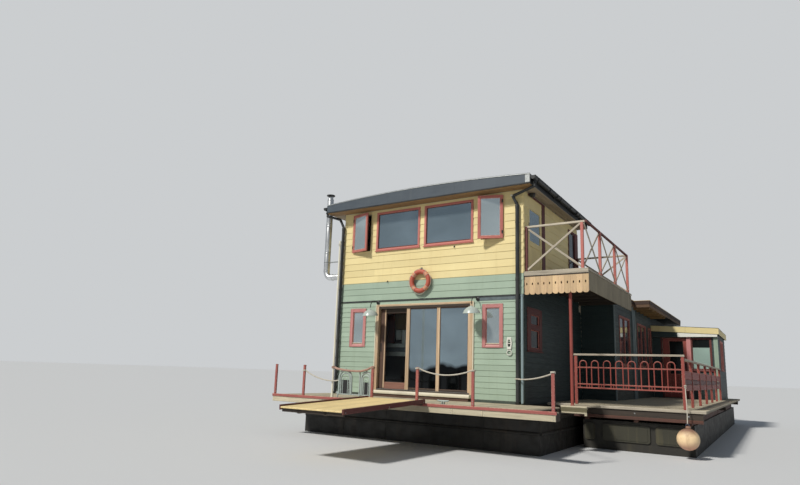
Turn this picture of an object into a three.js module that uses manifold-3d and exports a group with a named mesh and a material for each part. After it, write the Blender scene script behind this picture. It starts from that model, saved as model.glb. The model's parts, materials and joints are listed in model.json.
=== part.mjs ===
// A two-storey timber houseboat on a flat-bottomed hull, with a side pontoon, decks, a balcony and a boarding gangplank.
// Millimetres, +Z up. The part's origin is the middle of the main hull's flat bottom.
// The cabin group below has its own origin at the lower front left corner of the cabin's front wall, at the height of the
// front door's sill: x runs right along the front wall, y runs aft, and the front wall's outer face is y = 0.
import * as THREE from "three";
import { mergeVertices } from "three/addons/utils/BufferGeometryUtils.js";
import Module from "manifold-3d";

const wasm = await Module();
wasm.setup();

// ---- driving dimensions ----
const GAP = 0.5; // touching pieces keep this much apart
const FREEBOARD = 1050; // door sill above the water
const DRAFT = 550; // water above the hull's bottom
const HULL_BOTTOM = -(FREEBOARD + DRAFT);
const HULL = { x0: -150, x1: 5850, y0: -1000, y1: 14200, top: -310 };
const PONTOON = { x0: 6050, x1: 8300, y0: 1300, y1: 14000, top: -430 };
const DECK_TOP = -150;
const DECK_PLANK = 60;
const FRONT_DECK = { x0: -300, x1: 6500, y0: -2050, wide: 5930, lip: -1780 }; // beyond x = wide only the front lip goes on
const SIDE_DECK = { x0: 5300, x1: 8550, y0: 1100, y1: 13650, top: -110, t: 60 };
const CABIN_W = 5157; // cabin width
const WALL = 110; // wall thickness
const CLAD_BOTTOM = -90;
const STOREY_LINE = 2742; // where the yellow upper storey starts
const UPPER_D = 4300; // depth of the upper storey
const SOFFIT = 4715; // underside of the arched roof
const ROOF = { x0: -400, x1: 5450, y0: -350, y1: 4340, edge: 215, rise: 105 };
const REAR = { x1: 6070, y0: 4500, y1: 13500, eave: 2720, roof: 190, overhang: 6600 };
const WING = { x1: 8150, y0: 10350, eave: 2230, roof: 190, roofX: 8205, fall: 0.06 }; // its roof falls to starboard
const BALCONY = { x1: 6588, y0: 20, y1: 4400, top: 2770, t: 90, skirt: 2248, rail: 3834 };
const CASEMENT_OPEN = { port: 14, starboard: 18 }; // degrees that the two upper casements stand open
const PLANK = { x0: 2480, x1: 3890, len: 2620, t: 42, drop: 2.45, kerb: 30 };

// ---- shapes ----
const V2 = (a, b) => new THREE.Vector2(a, b);
const outline = (pts) => new THREE.Shape(pts.map(([a, b]) => V2(a, b)));
function box(x0, x1, y0, y1, z0, z1) {
  return new THREE.BoxGeometry(x1 - x0, y1 - y0, z1 - z0).translate((x0 + x1) / 2, (y0 + y1) / 2, (z0 + z1) / 2);
}
// outline in x,z pushed along y
function prismY(pts, y0, y1, holes = []) {
  const s = outline(pts);
  s.holes = holes.map((h) => new THREE.Path(h.map(([a, b]) => V2(a, b))));
  return new THREE.ExtrudeGeometry(s, { depth: y1 - y0, bevelEnabled: false }).rotateX(Math.PI / 2).translate(0, y1, 0);
}
// outline in y,z pushed along x
function prismX(pts, x0, x1) {
  return new THREE.ExtrudeGeometry(outline(pts), { depth: x1 - x0, bevelEnabled: false })
    .applyMatrix4(new THREE.Matrix4().set(0, 0, 1, x0, 1, 0, 0, 0, 0, 1, 0, 0, 0, 0, 0, 1));
}
// outline in x,y pushed along z
function prismZ(pts, z0, z1) {
  return new THREE.ExtrudeGeometry(outline(pts), { depth: z1 - z0, bevelEnabled: false }).translate(0, 0, z0);
}
function solid(g) {
  const p = new THREE.BufferGeometry().setAttribute("position", (g.index ? g.toNonIndexed() : g).getAttribute("position"));
  const m = mergeVertices(p, 1e-3);
  return new wasm.Manifold(new wasm.Mesh({ numProp: 3, vertProperties: m.attributes.position.array, triVerts: new Uint32Array(m.index.array) }));
}
function geometry(s) {
  const m = s.getMesh();
  const v = new Float32Array(m.numVert * 3);
  for (let i = 0; i < m.numVert; i++) v.set(m.vertProperties.subarray(i * m.numProp, i * m.numProp + 3), i * 3);
  const g = new THREE.BufferGeometry().setAttribute("position", new THREE.BufferAttribute(v, 3)).setIndex(new THREE.BufferAttribute(new Uint32Array(m.triVerts), 1));
  const flat = g.toNonIndexed();
  flat.computeVertexNormals();
  return flat;
}
const join = (...gs) => geometry(gs.flat().map(solid).reduce((a, b) => a.add(b)));
const cut = (g, ...holes) => geometry(holes.flat().map(solid).reduce((a, b) => a.subtract(b), solid(g)));
// a round or square bar along a run of points
function bar(points, r, sides = 8) {
  const ring = [];
  for (let i = 0; i < sides; i++) {
    const a = ((i + 0.5) / sides) * 2 * Math.PI;
    ring.push(V2(r * Math.cos(a), r * Math.sin(a)));
  }
  const path = new THREE.CurvePath();
  const p = points.map((q) => new THREE.Vector3(...q));
  if (p.length === 2) {
    path.add(new THREE.LineCurve3(p[0], p[1]));
    return new THREE.ExtrudeGeometry(new THREE.Shape(ring), { steps: 1, bevelEnabled: false, extrudePath: path });
  }
  const c = new THREE.CatmullRomCurve3(p, false, "centripetal");
  return new THREE.ExtrudeGeometry(new THREE.Shape(ring), { steps: (p.length - 1) * 3, bevelEnabled: false, extrudePath: c });
}
function upright(x, y, z0, z1, r, sides = 12) {
  return new THREE.CylinderGeometry(r, r, z1 - z0, sides).rotateX(Math.PI / 2).translate(x, y, (z0 + z1) / 2);
}

// ---- colours and finishes ----
const finish = (color, roughness = 0.8, metalness = 0) => new THREE.MeshStandardMaterial({ color, roughness, metalness });
const F = {
  yellow: finish(0xf0dea0), green: finish(0xa9c3ab), darkGreen: finish(0x2f4238), red: finish(0xb25450, 0.65),
  tan: finish(0xc8a578, 0.6), cream: finish(0xe1d2aa), slate: finish(0x55606a, 0.9), black: finish(0x24272a, 0.5),
  silver: finish(0xb9afa0), larch: finish(0xe1be91), steel: finish(0xc8ccd0, 0.25, 1), deck: finish(0xbeb49b),
  hull: finish(0x24201f, 0.7), panel: finish(0x464637), plank: finish(0xeed79b), rope: finish(0xd8d2c2, 0.9),
  orange: finish(0xc86950), glass: finish(0x7f8f9c, 0.1), sandRope: finish(0xe1aa7d), white: finish(0xe8e8e0, 0.6),
};

const houseboat = new THREE.Group();
const cabin = new THREE.Group();
cabin.position.set(-(HULL.x0 + HULL.x1) / 2, -(HULL.y0 + HULL.y1) / 2, -HULL_BOTTOM);
houseboat.add(cabin);
function add(name, geom, material, parent = cabin) {
  const m = new THREE.Mesh(geom, material);
  m.name = name;
  parent.add(m);
  return m;
}

// ---- hull and pontoon ----
add("main_hull", join(prismX([
  [HULL.y0, HULL.top], [HULL.y0, HULL_BOTTOM + 330], [HULL.y0 + 420, HULL_BOTTOM], [HULL.y1 - 420, HULL_BOTTOM],
  [HULL.y1, HULL_BOTTOM + 330], [HULL.y1, HULL.top]], HULL.x0, HULL.x1),
  box(HULL.x0, SIDE_DECK.x0 - GAP, 0, HULL.y1, HULL.top - 10, DECK_TOP)), F.hull);
add("side_pontoon", prismX([
  [PONTOON.y0, PONTOON.top], [PONTOON.y0, HULL_BOTTOM + 200], [PONTOON.y0 + 260, HULL_BOTTOM], [PONTOON.y1 - 260, HULL_BOTTOM],
  [PONTOON.y1, HULL_BOTTOM + 200], [PONTOON.y1, PONTOON.top]], PONTOON.x0, PONTOON.x1), F.panel);

// ---- front deck ----
const deckFrame = [box(FRONT_DECK.x0, FRONT_DECK.wide, FRONT_DECK.y0 + 30, -GAP, DECK_TOP - DECK_PLANK, DECK_TOP),
  box(FRONT_DECK.wide - 1, FRONT_DECK.x1, FRONT_DECK.y0 + 30, FRONT_DECK.lip, DECK_TOP - DECK_PLANK, DECK_TOP)];
for (const [y, x1] of [[FRONT_DECK.y0 + 30, FRONT_DECK.x1], [-1200, FRONT_DECK.wide], [-300, FRONT_DECK.wide]]) deckFrame.push(box(FRONT_DECK.x0, x1, y, y + 100, HULL.top + GAP, DECK_TOP - DECK_PLANK + 1));
deckFrame.push(box(FRONT_DECK.x0, FRONT_DECK.x1, FRONT_DECK.y0 + 5, FRONT_DECK.y0 + 31, -305, -175 - GAP));
add("front_deck", join(deckFrame), F.deck);
// posts on the deck's edge strip: x, height of the top
const EDGE_POSTS = [[-230, 550], [650, 550], [2565, 565], [3674, 570], [4908, 550], [6460, 550]];
const POST = 58;
add("deck_edge_posts", join(
  box(FRONT_DECK.x0, FRONT_DECK.x1 + 20, FRONT_DECK.y0 - 10, FRONT_DECK.y0 + 30 - GAP, -175, -137),
  EDGE_POSTS.map(([x, z]) => box(x - POST / 2, x + POST / 2, FRONT_DECK.y0 - 10, FRONT_DECK.y0 - 10 + 39, -140, z))), F.red);
// low hooped panel between two of the posts: x of the hoop, half width, top
const HOOPS_FRONT = [[1810, 165, 455], [2375, 128, 420]];
function hoop(x, half, z0, top, y, r, sides = 6) {
  const pts = [[x - half, y, z0], [x - half, y, (z0 + top - half) / 2]];
  for (let i = 0; i <= 6; i++) {
    const a = Math.PI - (i / 6) * Math.PI;
    pts.push([x + half * Math.cos(a), y, top - half + half * Math.sin(a)]);
  }
  pts.push([x + half, y, (z0 + top - half) / 2], [x + half, y, z0]);
  return bar(pts, r, sides);
}
{
  const y = FRONT_DECK.y0 + 55;
  const g = [box(1600, 2530, y - 10, y + 10, -70, -45)];
  for (const [x, half, top] of HOOPS_FRONT) g.push(hoop(x, half, -60, top, y, 12), hoop(x, half * 0.55, -60, top - 75, y, 9));
  for (const x of [1610, 2200, 2520]) g.push(box(x - 12, x + 12, y - 12, y + 12, DECK_TOP + GAP, x === 2200 ? 440 : 0));
  add("front_hoop_panel", join(g), F.silver);
}
// thin pole at the deck's edge
const POLE = { x: 1420, y: -1950, r: 22, top: 3420 };
add("deck_pole", upright(POLE.x, POLE.y, DECK_TOP + GAP, POLE.top, POLE.r, 10), F.silver);
// slack ropes along the deck's edge: radius, both ends, height and x of the lowest point, and the part of the run by which y has changed over
const EDGE_Y = FRONT_DECK.y0 + 10;
const PIPE_RIGHT = { x: 5037, y: -70, r: 46 };
const ROPES = [
  { name: "boarding_rope_port", r: 14, from: [650 + POST / 2 + 1.2, EDGE_Y, 420], to: [1629, FRONT_DECK.y0 + 55, 232], low: 217, at: 1450, turn: 1 },
  { name: "boarding_rope_swag", r: 24, from: [POLE.x + POLE.r + 2.5, POLE.y, 512], to: [2565 - POST / 2 - 2.5, EDGE_Y, 530], low: 445, at: 2150, turn: 0.17 },
  { name: "boarding_rope_entry", r: 14, from: [3674 + POST / 2 + 1.2, EDGE_Y, 540], to: [4908 - POST / 2 - 1.2, EDGE_Y, 528], low: 428, at: 4298, turn: 1 },
];
// the height follows a parabola on each side of the lowest point
function slack({ from, to, low, at, turn }, n = 12) {
  const pts = [from, [from[0] + 18, from[1], from[2] - 1]];
  for (let i = 1; i < n; i++) {
    const t = i / n, x = from[0] + (to[0] - from[0]) * t;
    const end = x < at ? from : to;
    pts.push([x, from[1] + (to[1] - from[1]) * Math.min(1, t / turn), low + (end[2] - low) * ((x - at) / (end[0] - at)) ** 2]);
  }
  pts.push([to[0] - 18, to[1], to[2] - 1], to);
  return pts;
}
for (const rope of ROPES) add(rope.name, join(bar(slack(rope), rope.r, 8)), F.rope);
// the starboard rope runs from the downpipe to the back of the corner post, nearly straight
{
  const a = [PIPE_RIGHT.x + 0.598 * 48.2, PIPE_RIGHT.y - 0.801 * 48.2], b = [6460, -1850], pts = [];
  for (let i = 0; i <= 11; i++) {
    const t = (i / 11) * 0.93;
    pts.push([a[0] + (b[0] - a[0]) * t, a[1] + (b[1] - a[1]) * t, 392 - 31.4 * t + 191.4 * t * t]);
  }
  pts.push([6444, -1905, 537], [6458, -1965, 540], [6460, -2002, 541], [6460, FRONT_DECK.y0 + 29 + 1.2, 541]);
  add("boarding_rope_starboard", join(bar(pts, 14, 8)), F.rope);
}
add("mooring_cleat", join(
  box(4150, 4290, FRONT_DECK.y0 + 60, FRONT_DECK.y0 + 150, DECK_TOP + GAP, DECK_TOP + 14),
  box(4190, 4250, FRONT_DECK.y0 + 80, FRONT_DECK.y0 + 130, DECK_TOP + 10, DECK_TOP + 70),
  bar([[4090, FRONT_DECK.y0 + 105, DECK_TOP + 78], [4350, FRONT_DECK.y0 + 105, DECK_TOP + 78]], 20, 8)), F.red);

// ---- gangplank, hinged at the top of its kerbs beside the deck's edge ----
const plank = new THREE.Group();
const PLANK_TOP = -PLANK.kerb, PLANK_BOTTOM = PLANK_TOP - PLANK.t;
plank.position.set(0, FRONT_DECK.y0 - 22, -53);
plank.rotation.x = (PLANK.drop * Math.PI) / 180;
cabin.add(plank);
add("gangplank", join(
  box(PLANK.x0, PLANK.x1, -PLANK.len, 0, PLANK_BOTTOM, PLANK_TOP),
  [PLANK.x0, PLANK.x1 - 32].map((x) => box(x, x + 32, -PLANK.len, 0, PLANK_BOTTOM - 16, 0)),
  [PLANK.x0 + 380, PLANK.x1 - 440].map((x) => box(x, x + 60, -PLANK.len + 40, -30, PLANK_BOTTOM - 60, PLANK_BOTTOM + 2)),
  [-PLANK.len + 40, -PLANK.len / 2, -90].map((y) => box(PLANK.x0 + 20, PLANK.x1 - 20, y, y + 50, PLANK_BOTTOM - 60, PLANK_BOTTOM + 2))), F.plank, plank);

// ---- cabin floor and walls ----
add("cabin_floor", box(WALL + 6, CABIN_W - WALL - 6, WALL + 6, 13480, DECK_TOP + GAP, -25), F.tan);
const hole = (x0, x1, z0, z1) => box(x0, x1, -300, WALL + 300, z0, z1);
// front openings: x0, x1, z0, z1
const OPEN = {
  door: [1190, 3925, 0, 2120], lowL: [355, 843, 1071, 2057], lowR: [4169, 4664, 1071, 2057],
  bigL: [1076, 2418, 3586, 4630], bigR: [2545, 3904, 3586, 4630], casL: [318, 903, 3586, 4630], casR: [4076, 4667, 3586, 4630],
};
const LAP = 22; // the casements lap over their openings
add("lower_front_wall", cut(box(0, CABIN_W, 0, WALL, CLAD_BOTTOM, STOREY_LINE - GAP),
  hole(...OPEN.door), hole(...OPEN.lowL), hole(...OPEN.lowR)), F.green);
add("upper_front_wall", cut(box(0, CABIN_W, 0, WALL, STOREY_LINE, SOFFIT - GAP),
  hole(...OPEN.bigL), hole(...OPEN.bigR),
  ...[OPEN.casL, OPEN.casR].map(([a, b, c, d]) => hole(a + LAP, b - LAP, c + LAP, d - LAP))), F.yellow);

// side openings: y0, y1, z0, z1
const SIDE = {
  lowWin: [165, 1125, 1030, 2005], balconyDoor: [270, 1210, BALCONY.top + 30, 4640], upWin: [3400, 4060, 3300, 4540],
  rearA: [5100, 6500, 850, 2290], rearB: [7700, 9150, 850, 2290], rearC: [9600, 10150, 850, 2290],
  portA: [1200, 2400, 1000, 2000], portB: [6000, 7400, 900, 1950], portC: [9600, 11000, 900, 1950], portUp: [1400, 2600, 3586, 4560],
};
const holeX = (x, [y0, y1, z0, z1]) => box(x - 400, x + 400, y0, y1, z0, z1);
add("lower_right_wall", cut(prismX([
  [WALL + GAP, DECK_TOP + GAP], [REAR.y0 + WALL, DECK_TOP + GAP], [REAR.y0 + WALL, REAR.eave - GAP], [UPPER_D + 6, REAR.eave - GAP],
  [UPPER_D + 6, STOREY_LINE - GAP], [WALL + GAP, STOREY_LINE - GAP]], CABIN_W - WALL, CABIN_W),
  holeX(CABIN_W, SIDE.lowWin)), F.darkGreen);
add("upper_right_wall", cut(box(CABIN_W - WALL, CABIN_W, WALL + GAP, UPPER_D - WALL - GAP, STOREY_LINE, SOFFIT - GAP),
  holeX(CABIN_W, SIDE.balconyDoor), holeX(CABIN_W, SIDE.upWin)), F.yellow);
add("lower_left_wall", cut(prismX([
  [WALL + GAP, DECK_TOP + GAP], [REAR.y1 - GAP, DECK_TOP + GAP], [REAR.y1 - GAP, REAR.eave - GAP], [UPPER_D + 6, REAR.eave - GAP],
  [UPPER_D + 6, STOREY_LINE - GAP], [WALL + GAP, STOREY_LINE - GAP]], 0, WALL),
  holeX(0, SIDE.portA), holeX(0, SIDE.portB), holeX(0, SIDE.portC)), F.green);
add("upper_left_wall", cut(box(0, WALL, WALL + GAP, UPPER_D - WALL - GAP, STOREY_LINE, SOFFIT - GAP), holeX(0, SIDE.portUp)), F.yellow);
const BACK_UP = [2000, 3300, 3586, 4500];
add("upper_back_wall", cut(box(0, CABIN_W, UPPER_D - WALL, UPPER_D, STOREY_LINE, SOFFIT - GAP),
  box(BACK_UP[0], BACK_UP[1], 3000, 5000, BACK_UP[2], BACK_UP[3])), F.yellow);
add("upper_floor", box(WALL + 6, CABIN_W - WALL - 6, WALL + 6, UPPER_D, 2500, STOREY_LINE - GAP), F.tan);

// arched roof of the upper storey: the underside is level, the top is a shallow arc
const arch = [[ROOF.x0, SOFFIT]];
arch.push([ROOF.x1, SOFFIT]);
for (let i = 0; i <= 16; i++) {
  const t = 1 - i / 16;
  arch.push([ROOF.x0 + (ROOF.x1 - ROOF.x0) * t, SOFFIT + ROOF.edge + ROOF.rise * (1 - (2 * t - 1) ** 2)]);
}
add("upper_roof", prismY(arch, ROOF.y0, ROOF.y1), F.slate);

// ---- rear part of the cabin, one storey ----
add("rear_return_wall", box(CABIN_W + GAP, REAR.x1, REAR.y0, REAR.y0 + WALL, SIDE_DECK.top + GAP, REAR.eave - GAP), F.darkGreen);
add("rear_right_wall", cut(prismX([
  [REAR.y0 + WALL + GAP, SIDE_DECK.top + GAP], [WING.y0 - GAP, SIDE_DECK.top + GAP], [WING.y0 - GAP, WING.eave], [REAR.y1 - GAP, WING.eave],
  [REAR.y1 - GAP, REAR.eave - GAP], [REAR.y0 + WALL + GAP, REAR.eave - GAP]], REAR.x1 - WALL, REAR.x1),
  holeX(REAR.x1, SIDE.rearA), holeX(REAR.x1, SIDE.rearB), holeX(REAR.x1, SIDE.rearC)), F.darkGreen);
const WING_DOOR = [6420, 7200, -90, 1980], WING_WIN = [7320, 7980, 850, 1980];
const wingTop = (x) => WING.eave - WING.fall * Math.max(0, x - REAR.x1); // underside of the wing's roof
add("wing_front_wall", cut(prismY([
  [REAR.x1 - WALL, SIDE_DECK.top + GAP], [WING.x1, SIDE_DECK.top + GAP], [WING.x1, wingTop(WING.x1) - GAP], [REAR.x1, WING.eave - GAP],
  [REAR.x1 - WALL, WING.eave - GAP]], WING.y0, WING.y0 + WALL),
  ...[WING_DOOR, WING_WIN].map(([a, b, c, d]) => box(a, b, WING.y0 - 300, WING.y0 + 400, c, d))), F.darkGreen);
add("wing_right_wall", cut(prismY([
  [WING.x1 - WALL, SIDE_DECK.top + GAP], [WING.x1, SIDE_DECK.top + GAP], [WING.x1, wingTop(WING.x1) - GAP],
  [WING.x1 - WALL, wingTop(WING.x1 - WALL) - GAP]], WING.y0 + WALL + GAP, REAR.y1 - GAP),
  holeX(WING.x1, [11300, 12500, 900, 1950])), F.darkGreen);
add("rear_back_wall", cut(prismY([
  [0, DECK_TOP + GAP], [SIDE_DECK.x0, DECK_TOP + GAP], [SIDE_DECK.x0, SIDE_DECK.top + GAP], [WING.x1, SIDE_DECK.top + GAP], [WING.x1, wingTop(WING.x1) - GAP], [REAR.x1, WING.eave - GAP], [REAR.x1, REAR.eave - GAP],
  [0, REAR.eave - GAP]], REAR.y1, REAR.y1 + WALL),
  ...[[900, 2300], [3600, 5000], [6700, 7500]].map(([a, b]) => box(a, b, REAR.y1 - 300, REAR.y1 + 400, 900, 1950))), F.darkGreen);
add("rear_roof", prismZ([
  [-300, UPPER_D + 6 + GAP], [CABIN_W, UPPER_D + 6 + GAP], [CABIN_W, 4460], [REAR.x1 + 60, 4460], [REAR.x1 + 60, 7000], [REAR.overhang, 7000],
  [REAR.overhang, 13900], [-300, 13900]],
  REAR.eave, REAR.eave + REAR.roof), F.slate);
add("wing_roof", prismY([
  [REAR.x1 + GAP, wingTop(REAR.x1 + GAP)], [WING.roofX, wingTop(WING.roofX)], [WING.roofX, wingTop(WING.roofX) + WING.roof],
  [REAR.x1 + GAP, wingTop(REAR.x1 + GAP) + WING.roof]], WING.y0 - 120, 13750), F.yellow);

// ---- windows and glazed leaves: a frame with its pane between a pocket on each face ----
// a block a..b wide, c..d high and t thick; the lights are [a, b, c, d] inside it; the pane is p0..p1 deep
function glazed([a, b, c, d], t, lights, p0, p1) {
  return cut(box(a, b, 0, t, c, d), ...lights.flatMap(([e, f, g, h]) => [box(e, f, -50, p0, g, h), box(e, f, p1, t + 50, g, h)]));
}
// lights of a frame with bars of width w at the places listed, and a rim of width f
function lightsOf([a, b, c, d], f, bars = [], w = 42) {
  const xs = [a + f, ...bars.flatMap((x) => [x - w / 2, x + w / 2]), b - f];
  const out = [];
  for (let i = 0; i < xs.length; i += 2) out.push([xs[i], xs[i + 1], c + f, d - f]);
  return out;
}
// in the front wall: x0, x1, z0, z1
function windowY(name, [x0, x1, z0, z1], y0, bars = []) {
  const r = [x0 + GAP, x1 - GAP, z0 + GAP, z1 - GAP];
  return add(name, glazed(r, 90, lightsOf(r, 55, bars), 38, 58).translate(0, y0, 0), F.red);
}
windowY("lower_window_left", OPEN.lowL, -28);
windowY("lower_window_right", OPEN.lowR, -28);
windowY("upper_window_left", OPEN.bigL, -28);
windowY("upper_window_right", OPEN.bigR, -28);
// in the starboard walls: y0, y1, z0, z1, with the frame's outer face at x
function windowX(name, [y0, y1, z0, z1], x, bars = [], lights = null) {
  const r = [y0 + GAP, y1 - GAP, z0 + GAP, z1 - GAP];
  return add(name, glazed(r, 90, lights ?? lightsOf(r, 55, bars), 38, 58).rotateZ(Math.PI / 2).translate(x, 0, 0), F.red);
}
windowX("side_lower_window", SIDE.lowWin, CABIN_W + 28, [], [[384, 950, 1090, 1503], [384, 950, 1625, 1850]]);
windowX("side_upper_window", SIDE.upWin, CABIN_W + 28);
windowX("rear_window_a", SIDE.rearA, REAR.x1 + 28, [5800]);
windowX("rear_window_b", SIDE.rearB, REAR.x1 + 28, [8425]);

// ---- casements of the upper front wall, standing open ----
function casement(name, [x0, x1, z0, z1], hingeLeft, open) {
  const g = new THREE.Group();
  const w = x1 - x0;
  g.position.set(hingeLeft ? x0 : x1, -7, 0);
  g.rotation.z = ((hingeLeft ? -1 : 1) * open * Math.PI) / 180;
  cabin.add(g);
  const r = hingeLeft ? [0, w, z0, z1] : [-w, 0, z0, z1];
  return add(name, glazed(r, 44, lightsOf(r, 62), 14, 32).translate(0, -44, 0), F.red, g);
}
casement("casement_left", OPEN.casL, true, CASEMENT_OPEN.port);
casement("casement_right", OPEN.casR, false, CASEMENT_OPEN.starboard);

// ---- front sliding door: frame, two fixed leaves on the outer track, one leaf that slides behind them ----
{
  const [x0, x1, z0, z1] = OPEN.door;
  const J = 72, y0 = -32, y1 = WALL + 8;
  const a = x0 + GAP, b = x1 - GAP, c = z0 + GAP, d = z1 - GAP;
  add("front_door_frame", cut(box(a, b, y0, y1, c, d), box(a + J, b - J, y0 - 50, y1 + 50, c + 30, d - J)), F.tan);
  const zi0 = c + 30 + GAP, zi1 = d - J - GAP, xi1 = b - J - GAP;
  add("door_fixed_leaves", glazed([2095, xi1, zi0, zi1], 48,
    [[2190, 2960, zi0 + 40, zi1 - 70], [3045, xi1 - 59, zi0 + 40, zi1 - 70]], 12, 36).translate(0, -8, 0), F.tan);
  const r = [a + J + 8, 2187, zi0 + 7, zi1 - 7];
  add("door_sliding_leaf", glazed(r, 46, [[r[0] + 170, r[1] - 80, r[2] + 160, r[3] - 100]], 11, 35).translate(0, 52, 0), F.tan);
}
add("front_door_sill", join(box(1170, 3930, -200, -32 - GAP, -75, 0), box(1200, 3895, -175, -GAP, DECK_TOP + GAP, -74)), F.cream);

// ---- hinged doors, closed: glazed leaves ----
{
  const [y0, y1, z0, z1] = SIDE.balconyDoor;
  const r = [y0 + 8, y1 - 8, z0 + 6, z1 - 8];
  add("balcony_door", glazed(r, 45, [[r[0] + 90, r[1] - 90, r[2] + 170, r[2] + 640], [r[0] + 90, r[1] - 90, r[2] + 760, 4345]], 14, 31)
    .rotateZ(Math.PI / 2).translate(CABIN_W + 15, 0, 0), F.yellow);
}
{
  const [x0, x1, z0, z1] = WING_DOOR;
  const r = [x0 + 8, x1 - 8, z0 + 8, z1 - 8];
  add("wing_door", glazed(r, 45, [[r[0] + 210, r[1] - 95, r[2] + 800, r[3] - 100]], 14, 31).translate(0, WING.y0 + 50, 0), F.red);
}

// ---- balcony over the side deck ----
const BX0 = CABIN_W + GAP;
{
  const g = [box(BX0, BALCONY.x1, BALCONY.y0, BALCONY.y1, BALCONY.top - 45, BALCONY.top)];
  for (let y = BALCONY.y0 + 45; y < BALCONY.y1 - 60; y += 620) g.push(box(BX0, BALCONY.x1 - 40, y, y + 60, BALCONY.top - 235, BALCONY.top - 40));
  g.push(box(BALCONY.x1 - 90, BALCONY.x1 - 40, BALCONY.y0 + 45, BALCONY.y1 - 45, BALCONY.top - 235, BALCONY.top - 40));
  g.push(box(BALCONY.x1 - 41, BALCONY.x1 - 12, BALCONY.y0 + 24, BALCONY.y1, BALCONY.skirt + 60, BALCONY.top - 40));
  add("balcony_deck", join(g), F.silver);
}
// scalloped skirt of upright boards on the front
{
  const n = 11, w = (BALCONY.x1 - BX0) / n;
  const pts = [[BX0, BALCONY.top - 46]];
  for (let i = 0; i < n; i++) {
    const x = BX0 + i * w;
    for (const [t, z] of [[0.02, 40], [0.14, 12], [0.34, 0], [0.66, 0], [0.86, 12], [0.98, 40]]) pts.push([x + t * w, BALCONY.skirt + z]);
  }
  pts.push([BALCONY.x1, BALCONY.top - 46]);
  add("balcony_front_skirt", prismY(pts.reverse(), BALCONY.y0 - 4, BALCONY.y0 + 22), F.larch);
}
// posts: x, y; the rails and the crossed braces join them
const BR = { y: [50, 1180, 2650, 4120], x: BALCONY.x1 - 45, corner: BALCONY.x1 - 135 }; // the front corner post stands inside the rail
{
  const P = 62, zt = BALCONY.rail, z0 = BALCONY.top + GAP, g = [];
  for (const y of BR.y.slice(1)) g.push(box(BR.x - P / 2, BR.x + P / 2, y, y + P, z0, zt - 8));
  g.push(box(BR.corner - P / 2, BR.corner + P / 2, BR.y[0], BR.y[0] + P, z0, zt - 8));
  g.push(box(BX0 + 8, BX0 + 8 + P, BR.y[0], BR.y[0] + P, z0, zt - 10));
  g.push(box(BX0 + 8, BX0 + 8 + P, BR.y[3], BR.y[3] + P, z0, zt - 10));
  g.push(box(BR.x - 25, BR.x + 25, BR.y[0] + 10, BR.y[3] + 50, zt - 45, zt));
  for (const y of [BR.y[0], BR.y[3]]) g.push(box(BX0 + 20, BR.x, y + 8, y + 54, zt - 45, zt));
  const cross = (p, q, r) => bar([p, q], r, 4);
  for (let i = 0; i < 3; i++) {
    const a = BR.y[i] + 40, b = BR.y[i + 1] + 20;
    const x = i ? BR.x : BR.corner + 25;
    g.push(cross([x, a, z0 + 60], [BR.x, b, zt - 40], 24), cross([x, a, zt - 40], [BR.x, b, z0 + 60], 24));
  }
  for (const [y, x] of [[BR.y[0] + 31, BR.corner], [BR.y[3] + 31, BR.x]]) g.push(cross([BX0 + 60, y, z0 + 60], [x, y, zt - 40], 24), cross([BX0 + 60, y, zt - 40], [x, y, z0 + 60], 24));
  add("balcony_railing", join(g), F.silver);
}
add("balcony_post", upright(6150, BALCONY.y0 + 140, SIDE_DECK.top + GAP, BALCONY.top - 46, 34), F.red);

// ---- side deck ----
// with a landing forward of it, which carries the balcony's post
const LANDING = { x0: 5940, x1: 6480, y0: BALCONY.y0, drop: 150 };
add("side_deck", join(
  box(SIDE_DECK.x0 + GAP, SIDE_DECK.x1, SIDE_DECK.y0, SIDE_DECK.y1, SIDE_DECK.top - SIDE_DECK.t, SIDE_DECK.top),
  box(LANDING.x0, LANDING.x1, LANDING.y0, SIDE_DECK.y0 + 1, SIDE_DECK.top - SIDE_DECK.t, SIDE_DECK.top),
  box(LANDING.x0, LANDING.x1, LANDING.y0, LANDING.y0 + 30, SIDE_DECK.top - LANDING.drop, SIDE_DECK.top - 1)), F.deck);
{
  const g = [], z0 = PONTOON.top + GAP, z1 = SIDE_DECK.top - SIDE_DECK.t - GAP;
  for (const y of [SIDE_DECK.y0 + 31, 7200, 13300]) g.push(box(5330, SIDE_DECK.x1 - 60, y, y + 100, HULL.top + GAP, z1));
  for (const x of [6100, 7140, 8180]) g.push(box(x, x + 90, SIDE_DECK.y0 + 31, 13400, z0, z1));
  add("side_deck_frame", join(g), F.red);
}
const RAIL = { x0: 5960, x1: 8165, y: SIDE_DECK.y0 + 42, top: 1010, mid: 702, low: 335, base: 255, hoop: 854 };
// hoops of the front rail: the first one's x, spacing, count
const HOOPS = { x: 6120, step: 260, n: 8, half: 75 };
{
  const y = RAIL.y, z0 = SIDE_DECK.top + GAP, g = [];
  for (const x of [RAIL.x0, RAIL.x1]) g.push(box(x - 30, x + 30, y - 30, y + 30, z0, RAIL.top - 30));
  g.push(box(RAIL.x0 - 40, RAIL.x1 + 38, y - 42, y + 42, RAIL.top - 40, RAIL.top));
  for (const z of [RAIL.mid, RAIL.low, RAIL.base]) g.push(box(RAIL.x0, RAIL.x1, y - 12, y + 12, z - 14, z + 14));
  for (let i = 0; i < HOOPS.n; i++) g.push(hoop(HOOPS.x + i * HOOPS.step, HOOPS.half, RAIL.base - 5, RAIL.hoop, y, 12, 5));
  add("side_front_railing", join(g), F.red);
}
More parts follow.
